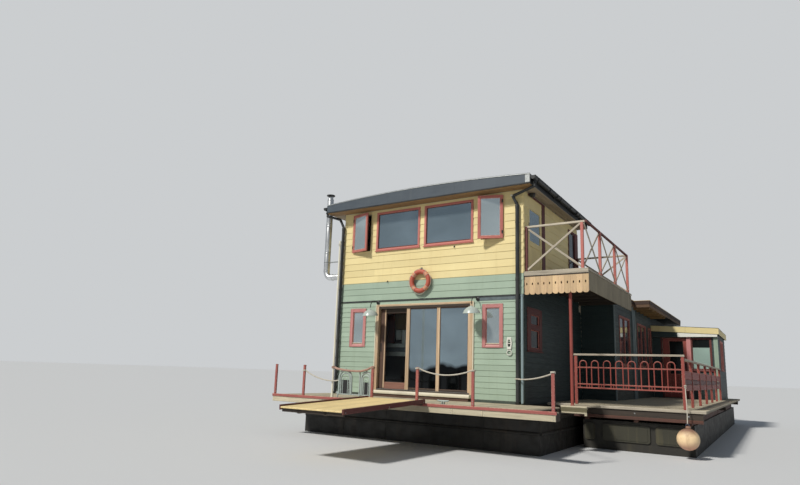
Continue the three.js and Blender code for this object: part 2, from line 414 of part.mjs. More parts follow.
// the long rail: posts along y, boards by their lower and upper edge
const LONG_POSTS = [2500, 4050, 5600, 7150, 8700, 10200], LONG_BOARDS = [[270, 390], [402, 498], [510, 680]], LONG_TOP = 935;
{
  const x = RAIL.x1 - 5, z0 = SIDE_DECK.top + GAP, y0 = RAIL.y + 43, y1 = 10240, g = [];
  for (const y of LONG_POSTS) g.push(box(x - 30, x + 30, y - 30, y + 30, z0, LONG_TOP - 30));
  g.push(box(x - 42, x + 42, y0, y1, LONG_TOP - 40, LONG_TOP));
  for (const [a, b] of LONG_BOARDS) g.push(box(x - 14, x + 14, y0, y1, a, b));
  add("side_long_railing", join(g), F.red);
}
const FENDER = { x: 8224, y: 865, z: -662, r: 212 };
add("ball_fender", new THREE.SphereGeometry(FENDER.r, 16, 10).rotateX(Math.PI / 2).translate(FENDER.x, FENDER.y, FENDER.z), F.sandRope);

// ---- rain gutters and pipes ----
{
  const run = (pts, r) => [...pts.slice(1).map((p, i) => bar([pts[i], p], r, 10)), ...pts.slice(1, -1).map(([x, y, z]) => new THREE.SphereGeometry(r, 10, 8).translate(x, y, z))];
  const gx0 = ROOF.x1 + GAP + 12, gx1 = gx0 + 112;
  add("right_gutter", join(
    box(gx0, gx1, ROOF.y0 - 10, ROOF.y1, SOFFIT + 70, SOFFIT + 165),
    run([[gx0 + 50, -230, SOFFIT + 80], [gx0 + 50, -230, SOFFIT - 47], [4950, -120, SOFFIT - 180], [PIPE_RIGHT.x, PIPE_RIGHT.y, SOFFIT - 385], [PIPE_RIGHT.x, PIPE_RIGHT.y, SOFFIT - 440]], 34),
    upright(PIPE_RIGHT.x, PIPE_RIGHT.y, -140, SOFFIT - 395, PIPE_RIGHT.r, 10)), F.black);
  const hx1 = ROOF.x0 - GAP - 12, hx0 = hx1 - 120, PIPE_LEFT = { x: -10, y: -70, r: 44 };
  add("left_gutter", join(
    box(hx0, hx1, ROOF.y0 - 10, ROOF.y1, SOFFIT + 70, SOFFIT + 165),
    run([[hx1 - 60, -230, SOFFIT + 80], [hx1 - 60, -230, SOFFIT - 50], [-120, -95, SOFFIT - 155], [PIPE_LEFT.x, PIPE_LEFT.y, SOFFIT - 385], [PIPE_LEFT.x, PIPE_LEFT.y, SOFFIT - 440]], 34),
    upright(PIPE_LEFT.x, PIPE_LEFT.y, -140, SOFFIT - 395, PIPE_LEFT.r, 10)), F.black);
}

// ---- stove flue ----
const FLUE = { x: -740, y: 180, r: 88, in: 3000, top: 5365, cap: 5430 };
add("stove_flue", join(
  upright(FLUE.x, FLUE.y, FLUE.in + 160, FLUE.top, FLUE.r, 16),
  upright(FLUE.x, FLUE.y, FLUE.cap - 26, FLUE.cap, FLUE.r * 1.36, 16), upright(FLUE.x, FLUE.y, FLUE.top - 20, FLUE.cap - 10, 22, 8),
  bar([[FLUE.x, FLUE.y, FLUE.in + 220], [FLUE.x + 30, FLUE.y, FLUE.in + 80], [FLUE.x + 190, FLUE.y, FLUE.in + 8], [-350, FLUE.y, FLUE.in], [-GAP, FLUE.y, FLUE.in]], 82, 14),
  box(FLUE.x, -GAP, FLUE.y - 15, FLUE.y + 15, 3420, 3450)), F.steel);

// ---- fittings on the front wall ----
add("lifebuoy", new THREE.TorusGeometry(240, 58, 10, 28).rotateX(Math.PI / 2).translate(2500, -80, 2690), F.orange);
export default houseboat;
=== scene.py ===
import json
import math
import random

import bmesh
import bpy
from mathutils import Matrix, Vector

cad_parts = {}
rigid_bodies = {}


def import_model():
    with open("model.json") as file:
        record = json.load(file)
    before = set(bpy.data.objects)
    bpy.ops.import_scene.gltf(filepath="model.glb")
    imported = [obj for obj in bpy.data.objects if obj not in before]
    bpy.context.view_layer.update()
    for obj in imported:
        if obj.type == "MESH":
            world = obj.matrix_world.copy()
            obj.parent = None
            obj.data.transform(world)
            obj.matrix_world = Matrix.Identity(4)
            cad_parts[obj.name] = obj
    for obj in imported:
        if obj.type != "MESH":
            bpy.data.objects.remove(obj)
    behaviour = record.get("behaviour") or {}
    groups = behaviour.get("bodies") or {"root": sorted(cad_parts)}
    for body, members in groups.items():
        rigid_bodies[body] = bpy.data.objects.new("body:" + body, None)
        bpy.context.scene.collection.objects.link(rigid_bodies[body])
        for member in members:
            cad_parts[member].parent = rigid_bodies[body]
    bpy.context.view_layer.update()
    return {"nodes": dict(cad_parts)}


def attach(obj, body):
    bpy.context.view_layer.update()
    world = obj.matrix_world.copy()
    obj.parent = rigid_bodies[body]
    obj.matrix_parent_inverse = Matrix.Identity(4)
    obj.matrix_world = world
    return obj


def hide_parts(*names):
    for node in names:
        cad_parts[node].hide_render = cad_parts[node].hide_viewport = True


for old in list(bpy.data.objects):
    bpy.data.objects.remove(old)
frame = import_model()
SC = bpy.context.scene
RND = random.Random(7)
MM = 0.001
# the cabin's own origin (lower front left corner of the front wall, at the door sill) in the row frame, in metres
OFF = Vector((-2.85, -6.6, 1.6))
WATER = 0.55


def row(x, y, z):
    """Cabin millimetres to row metres."""
    return Vector((x * MM + OFF.x, y * MM + OFF.y, z * MM + OFF.z))


# ---------------------------------------------------------------- camera
YAW, PITCH, ROLL = 0.5748959, 0.1832831, 0.0344988
fwd = Vector((-math.sin(YAW) * math.cos(PITCH), math.cos(YAW) * math.cos(PITCH), math.sin(PITCH)))
rgt = Vector((math.cos(YAW), math.sin(YAW), 0))
up = rgt.cross(fwd)
r2 = rgt * math.cos(ROLL) + up * math.sin(ROLL)
u2 = up * math.cos(ROLL) - rgt * math.sin(ROLL)
cam = bpy.data.objects.new("camera", bpy.data.cameras.new("camera"))
SC.collection.objects.link(cam)
cam.matrix_world = Matrix((
    (r2.x, u2.x, -fwd.x, 6.9408), (r2.y, u2.y, -fwd.y, -18.8727), (r2.z, u2.z, -fwd.z, 2.0551), (0, 0, 0, 1)))
cam.data.sensor_width = 36
cam.data.lens = 36 * 579.1434 / 800
cam.data.shift_y = (264.7716 - 242.5) / 800
cam.data.clip_end = 500
SC.camera = cam


# ---------------------------------------------------------------- building meshes, in cabin millimetres
def _chamfer_faces():
    def vid(s, k):
        return (s[0] * 4 + s[1] * 2 + s[2]) * 3 + k
    faces, edge = [], []
    for k in range(3):
        a, b = [i for i in range(3) if i != k]
        for side in (0, 1):
            q = []
            for p, r in ((0, 0), (1, 0), (1, 1), (0, 1)):
                s = [0, 0, 0]
                s[k], s[a], s[b] = side, p, r
                q.append(vid(s, k))
            faces.append(q)
            edge.append(0.0)
    for m in range(3):
        k, l = [i for i in range(3) if i != m]
        for sk in (0, 1):
            for sl in (0, 1):
                ends = []
                for e in (0, 1):
                    s = [0, 0, 0]
                    s[m], s[k], s[l] = e, sk, sl
                    ends.append(s)
                faces.append([vid(ends[0], k), vid(ends[1], k), vid(ends[1], l), vid(ends[0], l)])
                edge.append(1.0)
    for i in range(8):
        s = [(i >> 2) & 1, (i >> 1) & 1, i & 1]
        faces.append([vid(s, 0), vid(s, 1), vid(s, 2)])
        edge.append(1.0)
    return faces, edge


CH_FACES, CH_EDGE = _chamfer_faces()


class Solid:
    """A mesh under construction. Each vertex keeps a grain coordinate (x along the fibres) and a tone of its board."""

    def __init__(self):
        self.v, self.f, self.m, self.e, self.g, self.t = [], [], [], [], [], []

    def put(self, verts, faces, mat=0, edge=0.0, g=None, T=None, tone=None):
        n = len(self.v)
        tone = RND.random() if tone is None else tone
        shift = Vector((RND.uniform(0, 30), RND.uniform(0, 30), RND.uniform(0, 30)))
        for i, p in enumerate(verts):
            self.g.append(Vector(g[i] if g else p) * MM + shift)
            q = Vector(p)
            self.v.append(T(q) if T else q)
            self.t.append(tone)
        for i, f in enumerate(faces):
            self.f.append([n + j for j in f])
            self.m.append(mat[i] if isinstance(mat, list) else mat)
            self.e.append(edge[i] if isinstance(edge, list) else edge)


def cbox(s, x0, x1, y0, y1, z0, z1, c=3.0, mat=0, along=None, T=None, tone=None):
    """A block with chamfered edges."""
    lo, hi = [min(x0, x1), min(y0, y1), min(z0, z1)], [max(x0, x1), max(y0, y1), max(z0, z1)]
    size = [b - a for a, b in zip(lo, hi)]
    c = min(c, 0.42 * min(size))
    along = size.index(max(size)) if along is None else along
    others = [i for i in range(3) if i != along]
    verts, g = [], []
    for i in range(8):
        s3 = [(i >> 2) & 1, (i >> 1) & 1, i & 1]
        for k in range(3):
            p = [(hi[j] if s3[j] else lo[j]) if j == k else (hi[j] - c if s3[j] else lo[j] + c) for j in range(3)]
            verts.append(p)
            g.append((p[along], p[others[0]], p[others[1]]))
    s.put(verts, CH_FACES, mat, list(CH_EDGE), g, T, tone)


def prism(s, pts, axis, a, b, mat=0, along=None, T=None, tone=None, edge=0.0):
    """An outline in the other two axes, pushed along one axis."""
    along = axis if along is None else along
    others = [i for i in range(3) if i != axis]
    verts = []
    for w in (a, b):
        for p in pts:
            q = [0, 0, 0]
            q[axis], q[others[0]], q[others[1]] = w, p[0], p[1]
            verts.append(q)
    n = len(pts)
    faces = [list(range(n)), list(range(n, 2 * n))] + [[i, (i + 1) % n, n + (i + 1) % n, n + i] for i in range(n)]
    rest = [i for i in range(3) if i != along]
    s.put(verts, faces, mat, edge, [(v[along], v[rest[0]], v[rest[1]]) for v in verts], T, tone)


def frames_along(pts, closed=False):
    """Tangents and two side directions at each point, turned as little as possible."""
    n = len(pts)
    tan = []
    for i in range(n):
        a = pts[(i - 1) % n] if (closed or i > 0) else pts[i]
        b = pts[(i + 1) % n] if (closed or i < n - 1) else pts[i]
        tan.append((b - a).normalized())
    ref = Vector((0, 0, 1)) if abs(tan[0].z) < 0.9 else Vector((1, 0, 0))
    side = tan[0].cross(ref).normalized()
    out = []
    for t in tan:
        side = (side - t * side.dot(t)).normalized()
        out.append((t, side, t.cross(side)))
    if closed:
        # spread the twist that is left over the loop
        t0, s0, _ = out[0]
        s_end = (out[-1][1] - t0 * out[-1][1].dot(t0)).normalized()
        ang = math.atan2(s_end.cross(s0).dot(t0), s_end.dot(s0))
        out = [(t, a * math.cos(ang * i / n) + b * math.sin(ang * i / n), b * math.cos(ang * i / n) - a * math.sin(ang * i / n))
               for i, (t, a, b) in enumerate(out)]
    return out


def tube(s, pts, r, n=12, mat=0, closed=False, T=None, tone=None, shape=None, flat=1.0):
    """A round bar along points. r is a number or a function of the share of its length; shape(angle, distance) scales it."""
    pts = [Vector(p) for p in pts]
    fr = frames_along(pts, closed)
    run = [0.0]
    for a, b in zip(pts, pts[1:]):
        run.append(run[-1] + (b - a).length)
    total = run[-1] or 1
    verts, g = [], []
    for i, p in enumerate(pts):
        rr = r(run[i] / total) if callable(r) else r
        for j in range(n):
            a = 2 * math.pi * j / n
            k = rr * (shape(a, run[i]) if shape else 1)
            verts.append(p + fr[i][1] * (k * math.cos(a)) + fr[i][2] * (k * math.sin(a) * flat))
            g.append((run[i], k * math.cos(a), k * math.sin(a)))
    m, faces = len(pts), []
    for i in range(m if closed else m - 1):
        for j in range(n):
            i2 = (i + 1) % m
            faces.append([i * n + j, i * n + (j + 1) % n, i2 * n + (j + 1) % n, i2 * n + j])
    if not closed:
        faces += [list(range(n))[::-1], [(m - 1) * n + j for j in range(n)]]
    s.put(verts, faces, mat, 0.0, g, T, tone)


def lathe(s, prof, centre, axis=(0, 0, 1), n=24, mat=0, T=None, tone=None, along=0):
    """A profile of (radius, height) turned round an axis. It starts and ends at radius 0."""
    ax = Vector(axis).normalized()
    ref = Vector((1, 0, 0)) if abs(ax.x) < 0.9 else Vector((0, 1, 0))
    a = ax.cross(ref).normalized()
    b = ax.cross(a)
    c = Vector(centre)
    verts, rings, g = [], [], []
    for r, h in prof:
        if r <= 1e-6:
            rings.append([len(verts)])
            verts.append(c + ax * h)
            g.append((h, 0, 0))
        else:
            rings.append(list(range(len(verts), len(verts) + n)))
            for j in range(n):
                t = 2 * math.pi * j / n
                verts.append(c + ax * h + a * (r * math.cos(t)) + b * (r * math.sin(t)))
                g.append((h, r * math.cos(t), r * math.sin(t)))
    faces = []
    for p, q in zip(rings, rings[1:]):
        if len(p) == 1 and len(q) == 1:
            continue
        for j in range(n):
            k = (j + 1) % n
            if len(p) == 1:
                faces.append([p[0], q[k], q[j]])
            elif len(q) == 1:
                faces.append([p[j], p[k], q[0]])
            else:
                faces.append([p[j], p[k], q[k], q[j]])
    s.put(verts, faces, mat, 0.0, g, T, tone)


def bolt(s, centre, axis, r=9, h=6, mat=0, T=None):
    lathe(s, [(0, -4), (r * 1.3, -4), (r * 1.3, h * 0.3), (r, h * 0.3), (r, h * 0.8), (r * 0.7, h), (0, h)], centre, axis, 8, mat, T)


PIECES = {}


def make(name, s, mats, body="boat", replaces=(), sharp=32):
    me = bpy.data.meshes.new(name)
    me.from_pydata([(p.x * MM + OFF.x, p.y * MM + OFF.y, p.z * MM + OFF.z) for p in s.v], [], s.f)
    bm = bmesh.new()
    bm.from_mesh(me)
    bmesh.ops.recalc_face_normals(bm, faces=bm.faces)
    bm.to_mesh(me)
    bm.free()
    for m in (mats if isinstance(mats, (list, tuple)) else [mats]):
        me.materials.append(m)
    me.polygons.foreach_set("material_index", s.m)
    me.attributes.new("gco", "FLOAT_VECTOR", "POINT").data.foreach_set("vector", [c for p in s.g for c in p])
    me.attributes.new("tone", "FLOAT", "POINT").data.foreach_set("value", s.t)
    me.attributes.new("edge", "FLOAT", "FACE").data.foreach_set("value", s.e)
    me.polygons.foreach_set("use_smooth", [True] * len(me.polygons))
    me.set_sharp_from_angle(angle=math.radians(sharp))
    o = bpy.data.objects.new(name, me)
    SC.collection.objects.link(o)
    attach(o, body)
    if replaces:
        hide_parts(*replaces)
    PIECES[name] = o
    return o


# ---------------------------------------------------------------- materials
def lin(r, g, b):
    return tuple((c / 12.92 if c <= 0.04045 else ((c + 0.055) / 1.055) ** 2.4) for c in (r / 255, g / 255, b / 255)) + (1.0,)


class Mat:
    def __init__(self, name, rough=0.7, metal=0.0, ior=1.5, spec=0.5):
        self.m = bpy.data.materials.new(name)
        self.m.use_nodes = True
        self.t = self.m.node_tree
        self.t.nodes.clear()
        self.out = self.node("ShaderNodeOutputMaterial")
        self.p = self.node("ShaderNodeBsdfPrincipled")
        self.t.links.new(self.p.outputs[0], self.out.inputs[0])
        for k, v in (("Roughness", rough), ("Metallic", metal), ("IOR", ior), ("Specular IOR Level", spec)):
            self.p.inputs[k].default_value = v

    def node(self, kind, **kw):
        n = self.t.nodes.new(kind)
        for k, v in kw.items():
            setattr(n, k, v)
        return n

    def put(self, sock, x):
        if isinstance(x, bpy.types.NodeSocket):
            self.t.links.new(x, sock)
        else:
            sock.default_value = x

    def attr(self, name, vector=False):
        return self.node("ShaderNodeAttribute", attribute_name=name).outputs["Vector" if vector else "Fac"]

    def vec(self, kind, scale):
        """Grain coordinates ('g') or the object's own ('o'), scaled."""
        v = self.attr("gco", True) if kind == "g" else self.node("ShaderNodeTexCoord").outputs["Object"]
        n = self.node("ShaderNodeVectorMath", operation="MULTIPLY")
        self.put(n.inputs[0], v)
        n.inputs[1].default_value = scale if hasattr(scale, "__len__") else (scale,) * 3
        return n.outputs[0]

    def noise(self, vec, scale=1.0, detail=4.0, rough=0.55, dist=0.0):
        n = self.node("ShaderNodeTexNoise")
        self.put(n.inputs["Vector"], vec)
        for k, v in (("Scale", scale), ("Detail", detail), ("Roughness", rough), ("Distortion", dist)):
            n.inputs[k].default_value = v
        return n.outputs["Fac"]

    def voronoi(self, vec, scale=1.0, feature="F1"):
        n = self.node("ShaderNodeTexVoronoi", feature=feature)
        self.put(n.inputs["Vector"], vec)
        n.inputs["Scale"].default_value = scale
        return n.outputs["Distance"]

    def ramp(self, fac, stops, ease="LINEAR"):
        n = self.node("ShaderNodeValToRGB")
        self.put(n.inputs[0], fac)
        r = n.color_ramp
        r.interpolation = ease
        while len(r.elements) < len(stops):
            r.elements.new(0.5)
        for e, (p, c) in zip(r.elements, stops):
            e.position = p
            e.color = c if hasattr(c, "__len__") else (c, c, c, 1)
        return n.outputs[0]

    def mix(self, fac, a, b, how="MIX"):
        n = self.node("ShaderNodeMix", data_type="RGBA", blend_type=how)
        n.clamp_factor = True
        self.put(n.inputs[0], fac)
        self.put(n.inputs[6], a)
        self.put(n.inputs[7], b)
        return n.outputs[2]

    def math(self, op, a, b=0.0, clamp=False):
        n = self.node("ShaderNodeMath", operation=op, use_clamp=clamp)
        self.put(n.inputs[0], a)
        self.put(n.inputs[1], b)
        return n.outputs[0]

    def span(self, x, a, b, c, d):
        n = self.node("ShaderNodeMapRange")
        n.clamp = True
        self.put(n.inputs[0], x)
        for i, v in enumerate((a, b, c, d)):
            n.inputs[i + 1].default_value = v
        return n.outputs[0]

    def value(self, col, val, sat=1.0):
        n = self.node("ShaderNodeHueSaturation")
        self.put(n.inputs["Color"], col)
        self.put(n.inputs["Value"], val)
        self.put(n.inputs["Saturation"], sat)
        return n.outputs[0]

    def bump(self, height, strength=0.4, dist=0.004):
        n = self.node("ShaderNodeBump")
        n.inputs["Strength"].default_value = strength
        n.inputs["Distance"].default_value = dist
        self.put(n.inputs["Height"], height)
        self.put(self.p.inputs["Normal"], n.outputs[0])

    def facing_up(self):
        g = self.node("ShaderNodeNewGeometry").outputs["Normal"]
        n = self.node("ShaderNodeSeparateXYZ")
        self.put(n.inputs[0], g)
        return n.outputs[2]

    def height(self):
        n = self.node("ShaderNodeSeparateXYZ")
        self.put(n.inputs[0], self.node("ShaderNodeTexCoord").outputs["Object"])
        return n.outputs[2]

    def done(self, col=None, rough=None):
        if col is not None:
            self.put(self.p.inputs["Base Color"], col)
        if rough is not None:
            self.put(self.p.inputs["Roughness"], rough)
        return self.m


def wood(name, light, dark, worn=None, kind="g", grain=(1.3, 26, 26), fine=(5, 170, 170), tone=(0.84, 1.1), rough=(0.55, 0.85),
         bump=0.35, dirt=0.25, dirt_col=(70, 62, 50), sun_bleach_and_top_highlight=0.0, metal=0.0):
    """Bare or stained timber: long grain, fine fibres, a tone for each board, worn edges, patches of dirt, and upward
    faces paler, partly sun bleaching and partly a painted highlight.
    """
    m = Mat(name)
    g = m.vec(kind, grain)
    long = m.noise(g, 1.0, 5, 0.6, 0.6)
    fib = m.noise(m.vec(kind, fine), 1.0, 3, 0.6)
    col = m.mix(m.span(long, 0.32, 0.68, 0, 1), lin(*dark), lin(*light))
    col = m.mix(m.span(fib, 0.3, 0.6, 0.55, 0), col, m.value(col, 0.62))
    if kind == "g":
        col = m.value(col, m.span(m.attr("tone"), 0, 1, *tone))
        if worn:
            col = m.mix(m.math("MULTIPLY", m.attr("edge"), m.span(m.noise(m.vec("g", 22), 1, 3), 0.35, 0.6, 0.15, 0.85)), col, lin(*worn))
    # upward faces turn paler: partly sun bleaching, partly a painted highlight on lit tops
    if sun_bleach_and_top_highlight:
        col = m.mix(m.math("MULTIPLY", m.span(m.facing_up(), 0.3, 0.95, 0, sun_bleach_and_top_highlight), m.span(m.noise(m.vec("o", 3), 1, 4), 0.3, 0.7, 0.6, 1)),
                    col, lin(*(worn or light)))
    patch = m.noise(m.vec("o", (1.6, 1.6, 0.9)), 1.0, 5, 0.6)
    col = m.mix(m.math("MULTIPLY", m.span(patch, 0.5, 0.78, 0, 1), dirt), col, lin(*dirt_col))
    m.bump(m.math("ADD", m.math("MULTIPLY", fib, 0.6), m.math("MULTIPLY", long, 0.8)), bump, 0.003)
    return m.done(col, m.span(long, 0.3, 0.7, *rough))


def paint(name, base, shade=None, worn=(205, 190, 165), kind="g", rough=(0.42, 0.68), tone=(0.94, 1.05), chips=0.35, dirt=0.3,
          dirt_col=(120, 105, 80), bump=0.22, streak=(7, 7, 0.5), sun_bleach_and_top_highlight=0.0, sun_bleach_and_highlight_col=None, grain=(2.2, 60, 60)):
    """Paint on timber or metal: brush grain, a tone for each board, faded patches, run-off streaks, chipped edges, and
    upward faces paler, partly sun bleaching and partly a painted highlight.
    """
    m = Mat(name)
    grn = m.noise(m.vec(kind, grain), 1.0, 4, 0.6)
    fade = m.noise(m.vec("o", 0.9), 1.0, 5, 0.6, 0.4)
    col = m.mix(m.span(fade, 0.3, 0.72, 0, 1), lin(*base), lin(*(shade or tuple(int(c * 0.93) for c in base))))
    col = m.mix(m.span(grn, 0.25, 0.5, 0.22, 0), col, m.value(col, 0.75))
    if kind == "g":
        col = m.value(col, m.span(m.attr("tone"), 0, 1, *tone))
    runs = m.noise(m.vec("o", streak), 1.0, 5, 0.65, 0.3)
    col = m.mix(m.math("MULTIPLY", m.span(runs, 0.54, 0.8, 0, 1), dirt), col, lin(*dirt_col))
    # upward faces turn paler: partly sun bleaching, partly a painted highlight on lit tops
    if sun_bleach_and_top_highlight:
        col = m.mix(m.math("MULTIPLY", m.span(m.facing_up(), 0.35, 0.95, 0, sun_bleach_and_top_highlight), m.span(m.noise(m.vec("o", 4), 1, 4), 0.3, 0.7, 0.5, 1)),
                    col, lin(*(sun_bleach_and_highlight_col or worn)))
    spots = m.noise(m.vec("o", 34), 1.0, 4, 0.6)
    if kind == "g" and chips:
        chip = m.math("MULTIPLY", m.attr("edge"), m.span(spots, 0.5, 0.58, 0, 1))
        col = m.mix(m.math("MULTIPLY", chip, chips * 2, True), col, lin(*worn))
    m.bump(m.math("ADD", m.math("MULTIPLY", grn, 0.8), m.math("MULTIPLY", spots, 0.25)), bump, 0.002)
    return m.done(col, m.span(grn, 0.3, 0.7, *rough))


def metal(name, base, rough=(0.2, 0.45), amount=1.0, brush=(2, 2, 90), kind="g", spots=0.0, spot_col=(120, 85, 60), bump=0.1):
    """Bare or galvanised metal: brushed or mottled, with stains."""
    m = Mat(name, metal=amount)
    b = m.noise(m.vec(kind, brush), 1.0, 4, 0.6)
    mott = m.noise(m.vec("o", 9), 1.0, 5, 0.6, 0.5)
    col = m.mix(m.span(mott, 0.3, 0.7, 0, 1), lin(*base), lin(*tuple(int(c * 0.82) for c in base)))
    if spots:
        col = m.mix(m.math("MULTIPLY", m.span(mott, 0.56, 0.7, 0, 1), spots), col, lin(*spot_col))
    m.bump(b, bump, 0.001)
    return m.done(col, m.span(m.math("ADD", m.math("MULTIPLY", b, 0.5), m.math("MULTIPLY", mott, 0.5)), 0.3, 0.7, *rough))


def plastic(name, base, rough=(0.35, 0.6), dust=0.3, dust_col=(120, 118, 108)):
    m = Mat(name)
    a = m.noise(m.vec("o", (5, 5, 1.4)), 1.0, 5, 0.6)
    fine = m.noise(m.vec("o", 140), 1.0, 2, 0.6)
    col = m.mix(m.span(a, 0.4, 0.75, 0, dust), lin(*base), lin(*dust_col))
    m.bump(fine, 0.08, 0.001)
    return m.done(col, m.span(a, 0.3, 0.7, *rough))


YELLOW = paint("paint_yellow", (227, 211, 156), (219, 200, 144), dirt=0.28, dirt_col=(180, 160, 105), worn=(215, 195, 150), chips=0.2, bump=0.2)
GREEN = paint("paint_pale_green", (163, 182, 163), (148, 167, 149), dirt=0.3, dirt_col=(120, 135, 108), worn=(205, 205, 180), chips=0.25, bump=0.25)
DARK_GREEN = paint("paint_dark_green", (44, 62, 62), (32, 47, 48), dirt=0.3, dirt_col=(62, 72, 62), worn=(96, 104, 88), chips=0.3, bump=0.25)
RED_DECK = paint("paint_deck_red", (164, 92, 84), (148, 80, 74), dirt=0.3, dirt_col=(110, 66, 58), worn=(206, 156, 138), chips=0.6, bump=0.3,
                 sun_bleach_and_top_highlight=0.35, sun_bleach_and_highlight_col=(200, 140, 126))
RED = paint("paint_dusty_red", (188, 112, 102), (172, 98, 90), dirt=0.25, dirt_col=(120, 70, 60), worn=(214, 160, 140), chips=0.6, bump=0.3,
            sun_bleach_and_top_highlight=0.35, sun_bleach_and_highlight_col=(214, 150, 135))
RED_RAIL = paint("paint_rail_red", (150, 72, 62), (132, 62, 55), dirt=0.4, dirt_col=(92, 62, 48), worn=(190, 160, 140), chips=0.8, bump=0.4,
                 sun_bleach_and_top_highlight=0.75, sun_bleach_and_highlight_col=(196, 168, 148))
# a darker copy of the red paint for red parts that stand in shade: painted shade
RED_IN_PAINTED_SHADE = paint("paint_red_in_painted_shade", (98, 44, 40), (84, 38, 36), dirt=0.3, dirt_col=(60, 40, 34), worn=(150, 110, 95), chips=0.4, bump=0.3)
CREAM = paint("paint_cream", (216, 210, 190), (202, 194, 170), dirt=0.35, dirt_col=(150, 130, 96), worn=(170, 150, 120), chips=0.5, bump=0.3)
WHITE = paint("paint_white", (226, 226, 218), (208, 208, 198), dirt=0.35, dirt_col=(150, 148, 130), worn=(160, 150, 130), chips=0.5)
TAN = wood("oak_varnished", (222, 196, 164), (190, 158, 124), worn=(234, 214, 184), bump=0.25, dirt=0.15, dirt_col=(120, 90, 60), rough=(0.35, 0.6))
BROWN = wood("timber_brown", (100, 74, 60), (72, 52, 42), worn=(128, 104, 86), bump=0.3, dirt=0.25, dirt_col=(60, 44, 34), rough=(0.45, 0.7))
SOFFIT_WOOD = wood("soffit_stained", (165, 130, 85), (128, 98, 62), worn=(180, 146, 100), dirt=0.3, dirt_col=(90, 72, 46))
SOFFIT_SIDE = wood("soffit_boards_side", (165, 150, 128), (134, 120, 100), worn=(180, 166, 144), dirt=0.3, dirt_col=(96, 86, 68))
LARCH = wood("larch_boards", (226, 196, 150), (205, 172, 136), worn=(232, 205, 165), tone=(0.76, 1.1), bump=0.35, dirt=0.25, dirt_col=(150, 118, 84))
GREY_WOOD = wood("weathered_grey_wood", (196, 186, 168), (152, 142, 126), worn=(208, 200, 184), bump=0.45, dirt=0.3, dirt_col=(96, 88, 74), sun_bleach_and_top_highlight=0.4)
DECK = wood("deck_boards", (206, 196, 170), (166, 154, 130), worn=(218, 208, 186), bump=0.5, dirt=0.35, dirt_col=(104, 94, 74), tone=(0.8, 1.1))
FASCIA = wood("deck_fascia", (204, 194, 168), (178, 168, 142), worn=(214, 206, 184), bump=0.4, dirt=0.3, dirt_col=(120, 112, 90))
DARK_WOOD = wood("dark_timber", (70, 58, 48), (44, 36, 30), worn=(96, 84, 70), bump=0.4, dirt=0.3, dirt_col=(36, 34, 26))
PLANK_TOP = wood("plank_boards", (244, 222, 164), (226, 198, 138), worn=(246, 228, 182), bump=0.35, dirt=0.3, dirt_col=(176, 150, 104), tone=(0.92, 1.05))
FLOOR_IN = wood("floor_boards", (170, 128, 86), (130, 92, 60), kind="o", grain=(1.2, 18, 18), fine=(5, 120, 120))
INSIDE = paint("wall_lining", (214, 206, 188), (200, 190, 172), kind="o", dirt=0.12, grain=(3, 3, 26))
HULL = paint("hull_black", (33, 31, 27), (26, 25, 22), kind="o", dirt=0.5, dirt_col=(70, 56, 44), rough=(0.45, 0.75), bump=0.35, streak=(3.2, 3.2, 0.35), grain=(6, 6, 6))
PANEL = paint("pontoon_olive", (42, 40, 33), (33, 31, 26), kind="o", dirt=0.5, dirt_col=(74, 67, 48), rough=(0.5, 0.8), bump=0.4, streak=(3, 3, 0.4), grain=(8, 8, 8))
SLATE = paint("roof_sheet_grey", (96, 106, 118), (84, 94, 104), kind="o", dirt=0.3, dirt_col=(120, 124, 122), rough=(0.4, 0.62), bump=0.15, grain=(5, 5, 5), streak=(1.4, 1.4, 1.4))
SLATE_G = paint("roof_trim_grey", (76, 86, 95), (66, 75, 84), dirt=0.2, dirt_col=(100, 106, 108), worn=(170, 176, 180), chips=0.5, rough=(0.35, 0.55), bump=0.1)
FELT = paint("roof_felt", (74, 78, 76), (60, 64, 62), kind="o", dirt=0.5, dirt_col=(104, 104, 84), rough=(0.8, 0.95), bump=0.6, grain=(90, 90, 90), streak=(1.1, 1.1, 1.1))
BLACK = plastic("black_gutter", (30, 33, 36), dust=0.35, dust_col=(86, 88, 84))
BLUEGREY = plastic("pipe_bluegrey", (126, 142, 146), dust=0.4, dust_col=(170, 178, 176))
STEEL = metal("stainless_flue", (236, 238, 240), (0.3, 0.46), brush=(70, 3, 3))
GALV = metal("galvanised", (176, 180, 180), (0.38, 0.62), amount=0.85, brush=(6, 6, 6), spots=0.25, spot_col=(140, 130, 112), bump=0.2)
ROSE = paint("paint_rose", (192, 130, 128), (174, 112, 110), dirt=0.25, dirt_col=(130, 78, 68), worn=(226, 182, 166), chips=0.6, bump=0.3, sun_bleach_and_top_highlight=0.6, sun_bleach_and_highlight_col=(232, 206, 190))
POLE_PALE = paint("pole_pale", (226, 222, 204), (206, 200, 180), dirt=0.35, dirt_col=(150, 138, 112), worn=(160, 150, 130), chips=0.3, rough=(0.4, 0.6), bump=0.12)
PIPE_BLUE = paint("pipe_paint_blue", (140, 158, 162), (124, 142, 146), dirt=0.35, dirt_col=(96, 104, 100), worn=(180, 190, 190), chips=0.3, rough=(0.4, 0.6), bump=0.15)
LEAD = metal("lead_apron", (104, 116, 120), (0.5, 0.7), amount=0.35, brush=(5, 5, 5), spots=0.3, spot_col=(84, 90, 90), bump=0.25)
IRON = paint("iron_grey_green", (172, 184, 178), (148, 160, 154), dirt=0.55, dirt_col=(104, 84, 66), worn=(150, 110, 84), chips=0.6, rough=(0.4, 0.65), sun_bleach_and_top_highlight=0.5, sun_bleach_and_highlight_col=(196, 204, 196))
BLACK_IRON = paint("iron_black", (34, 34, 34), (26, 26, 26), dirt=0.3, dirt_col=(80, 62, 48), worn=(90, 88, 84), rough=(0.4, 0.6))


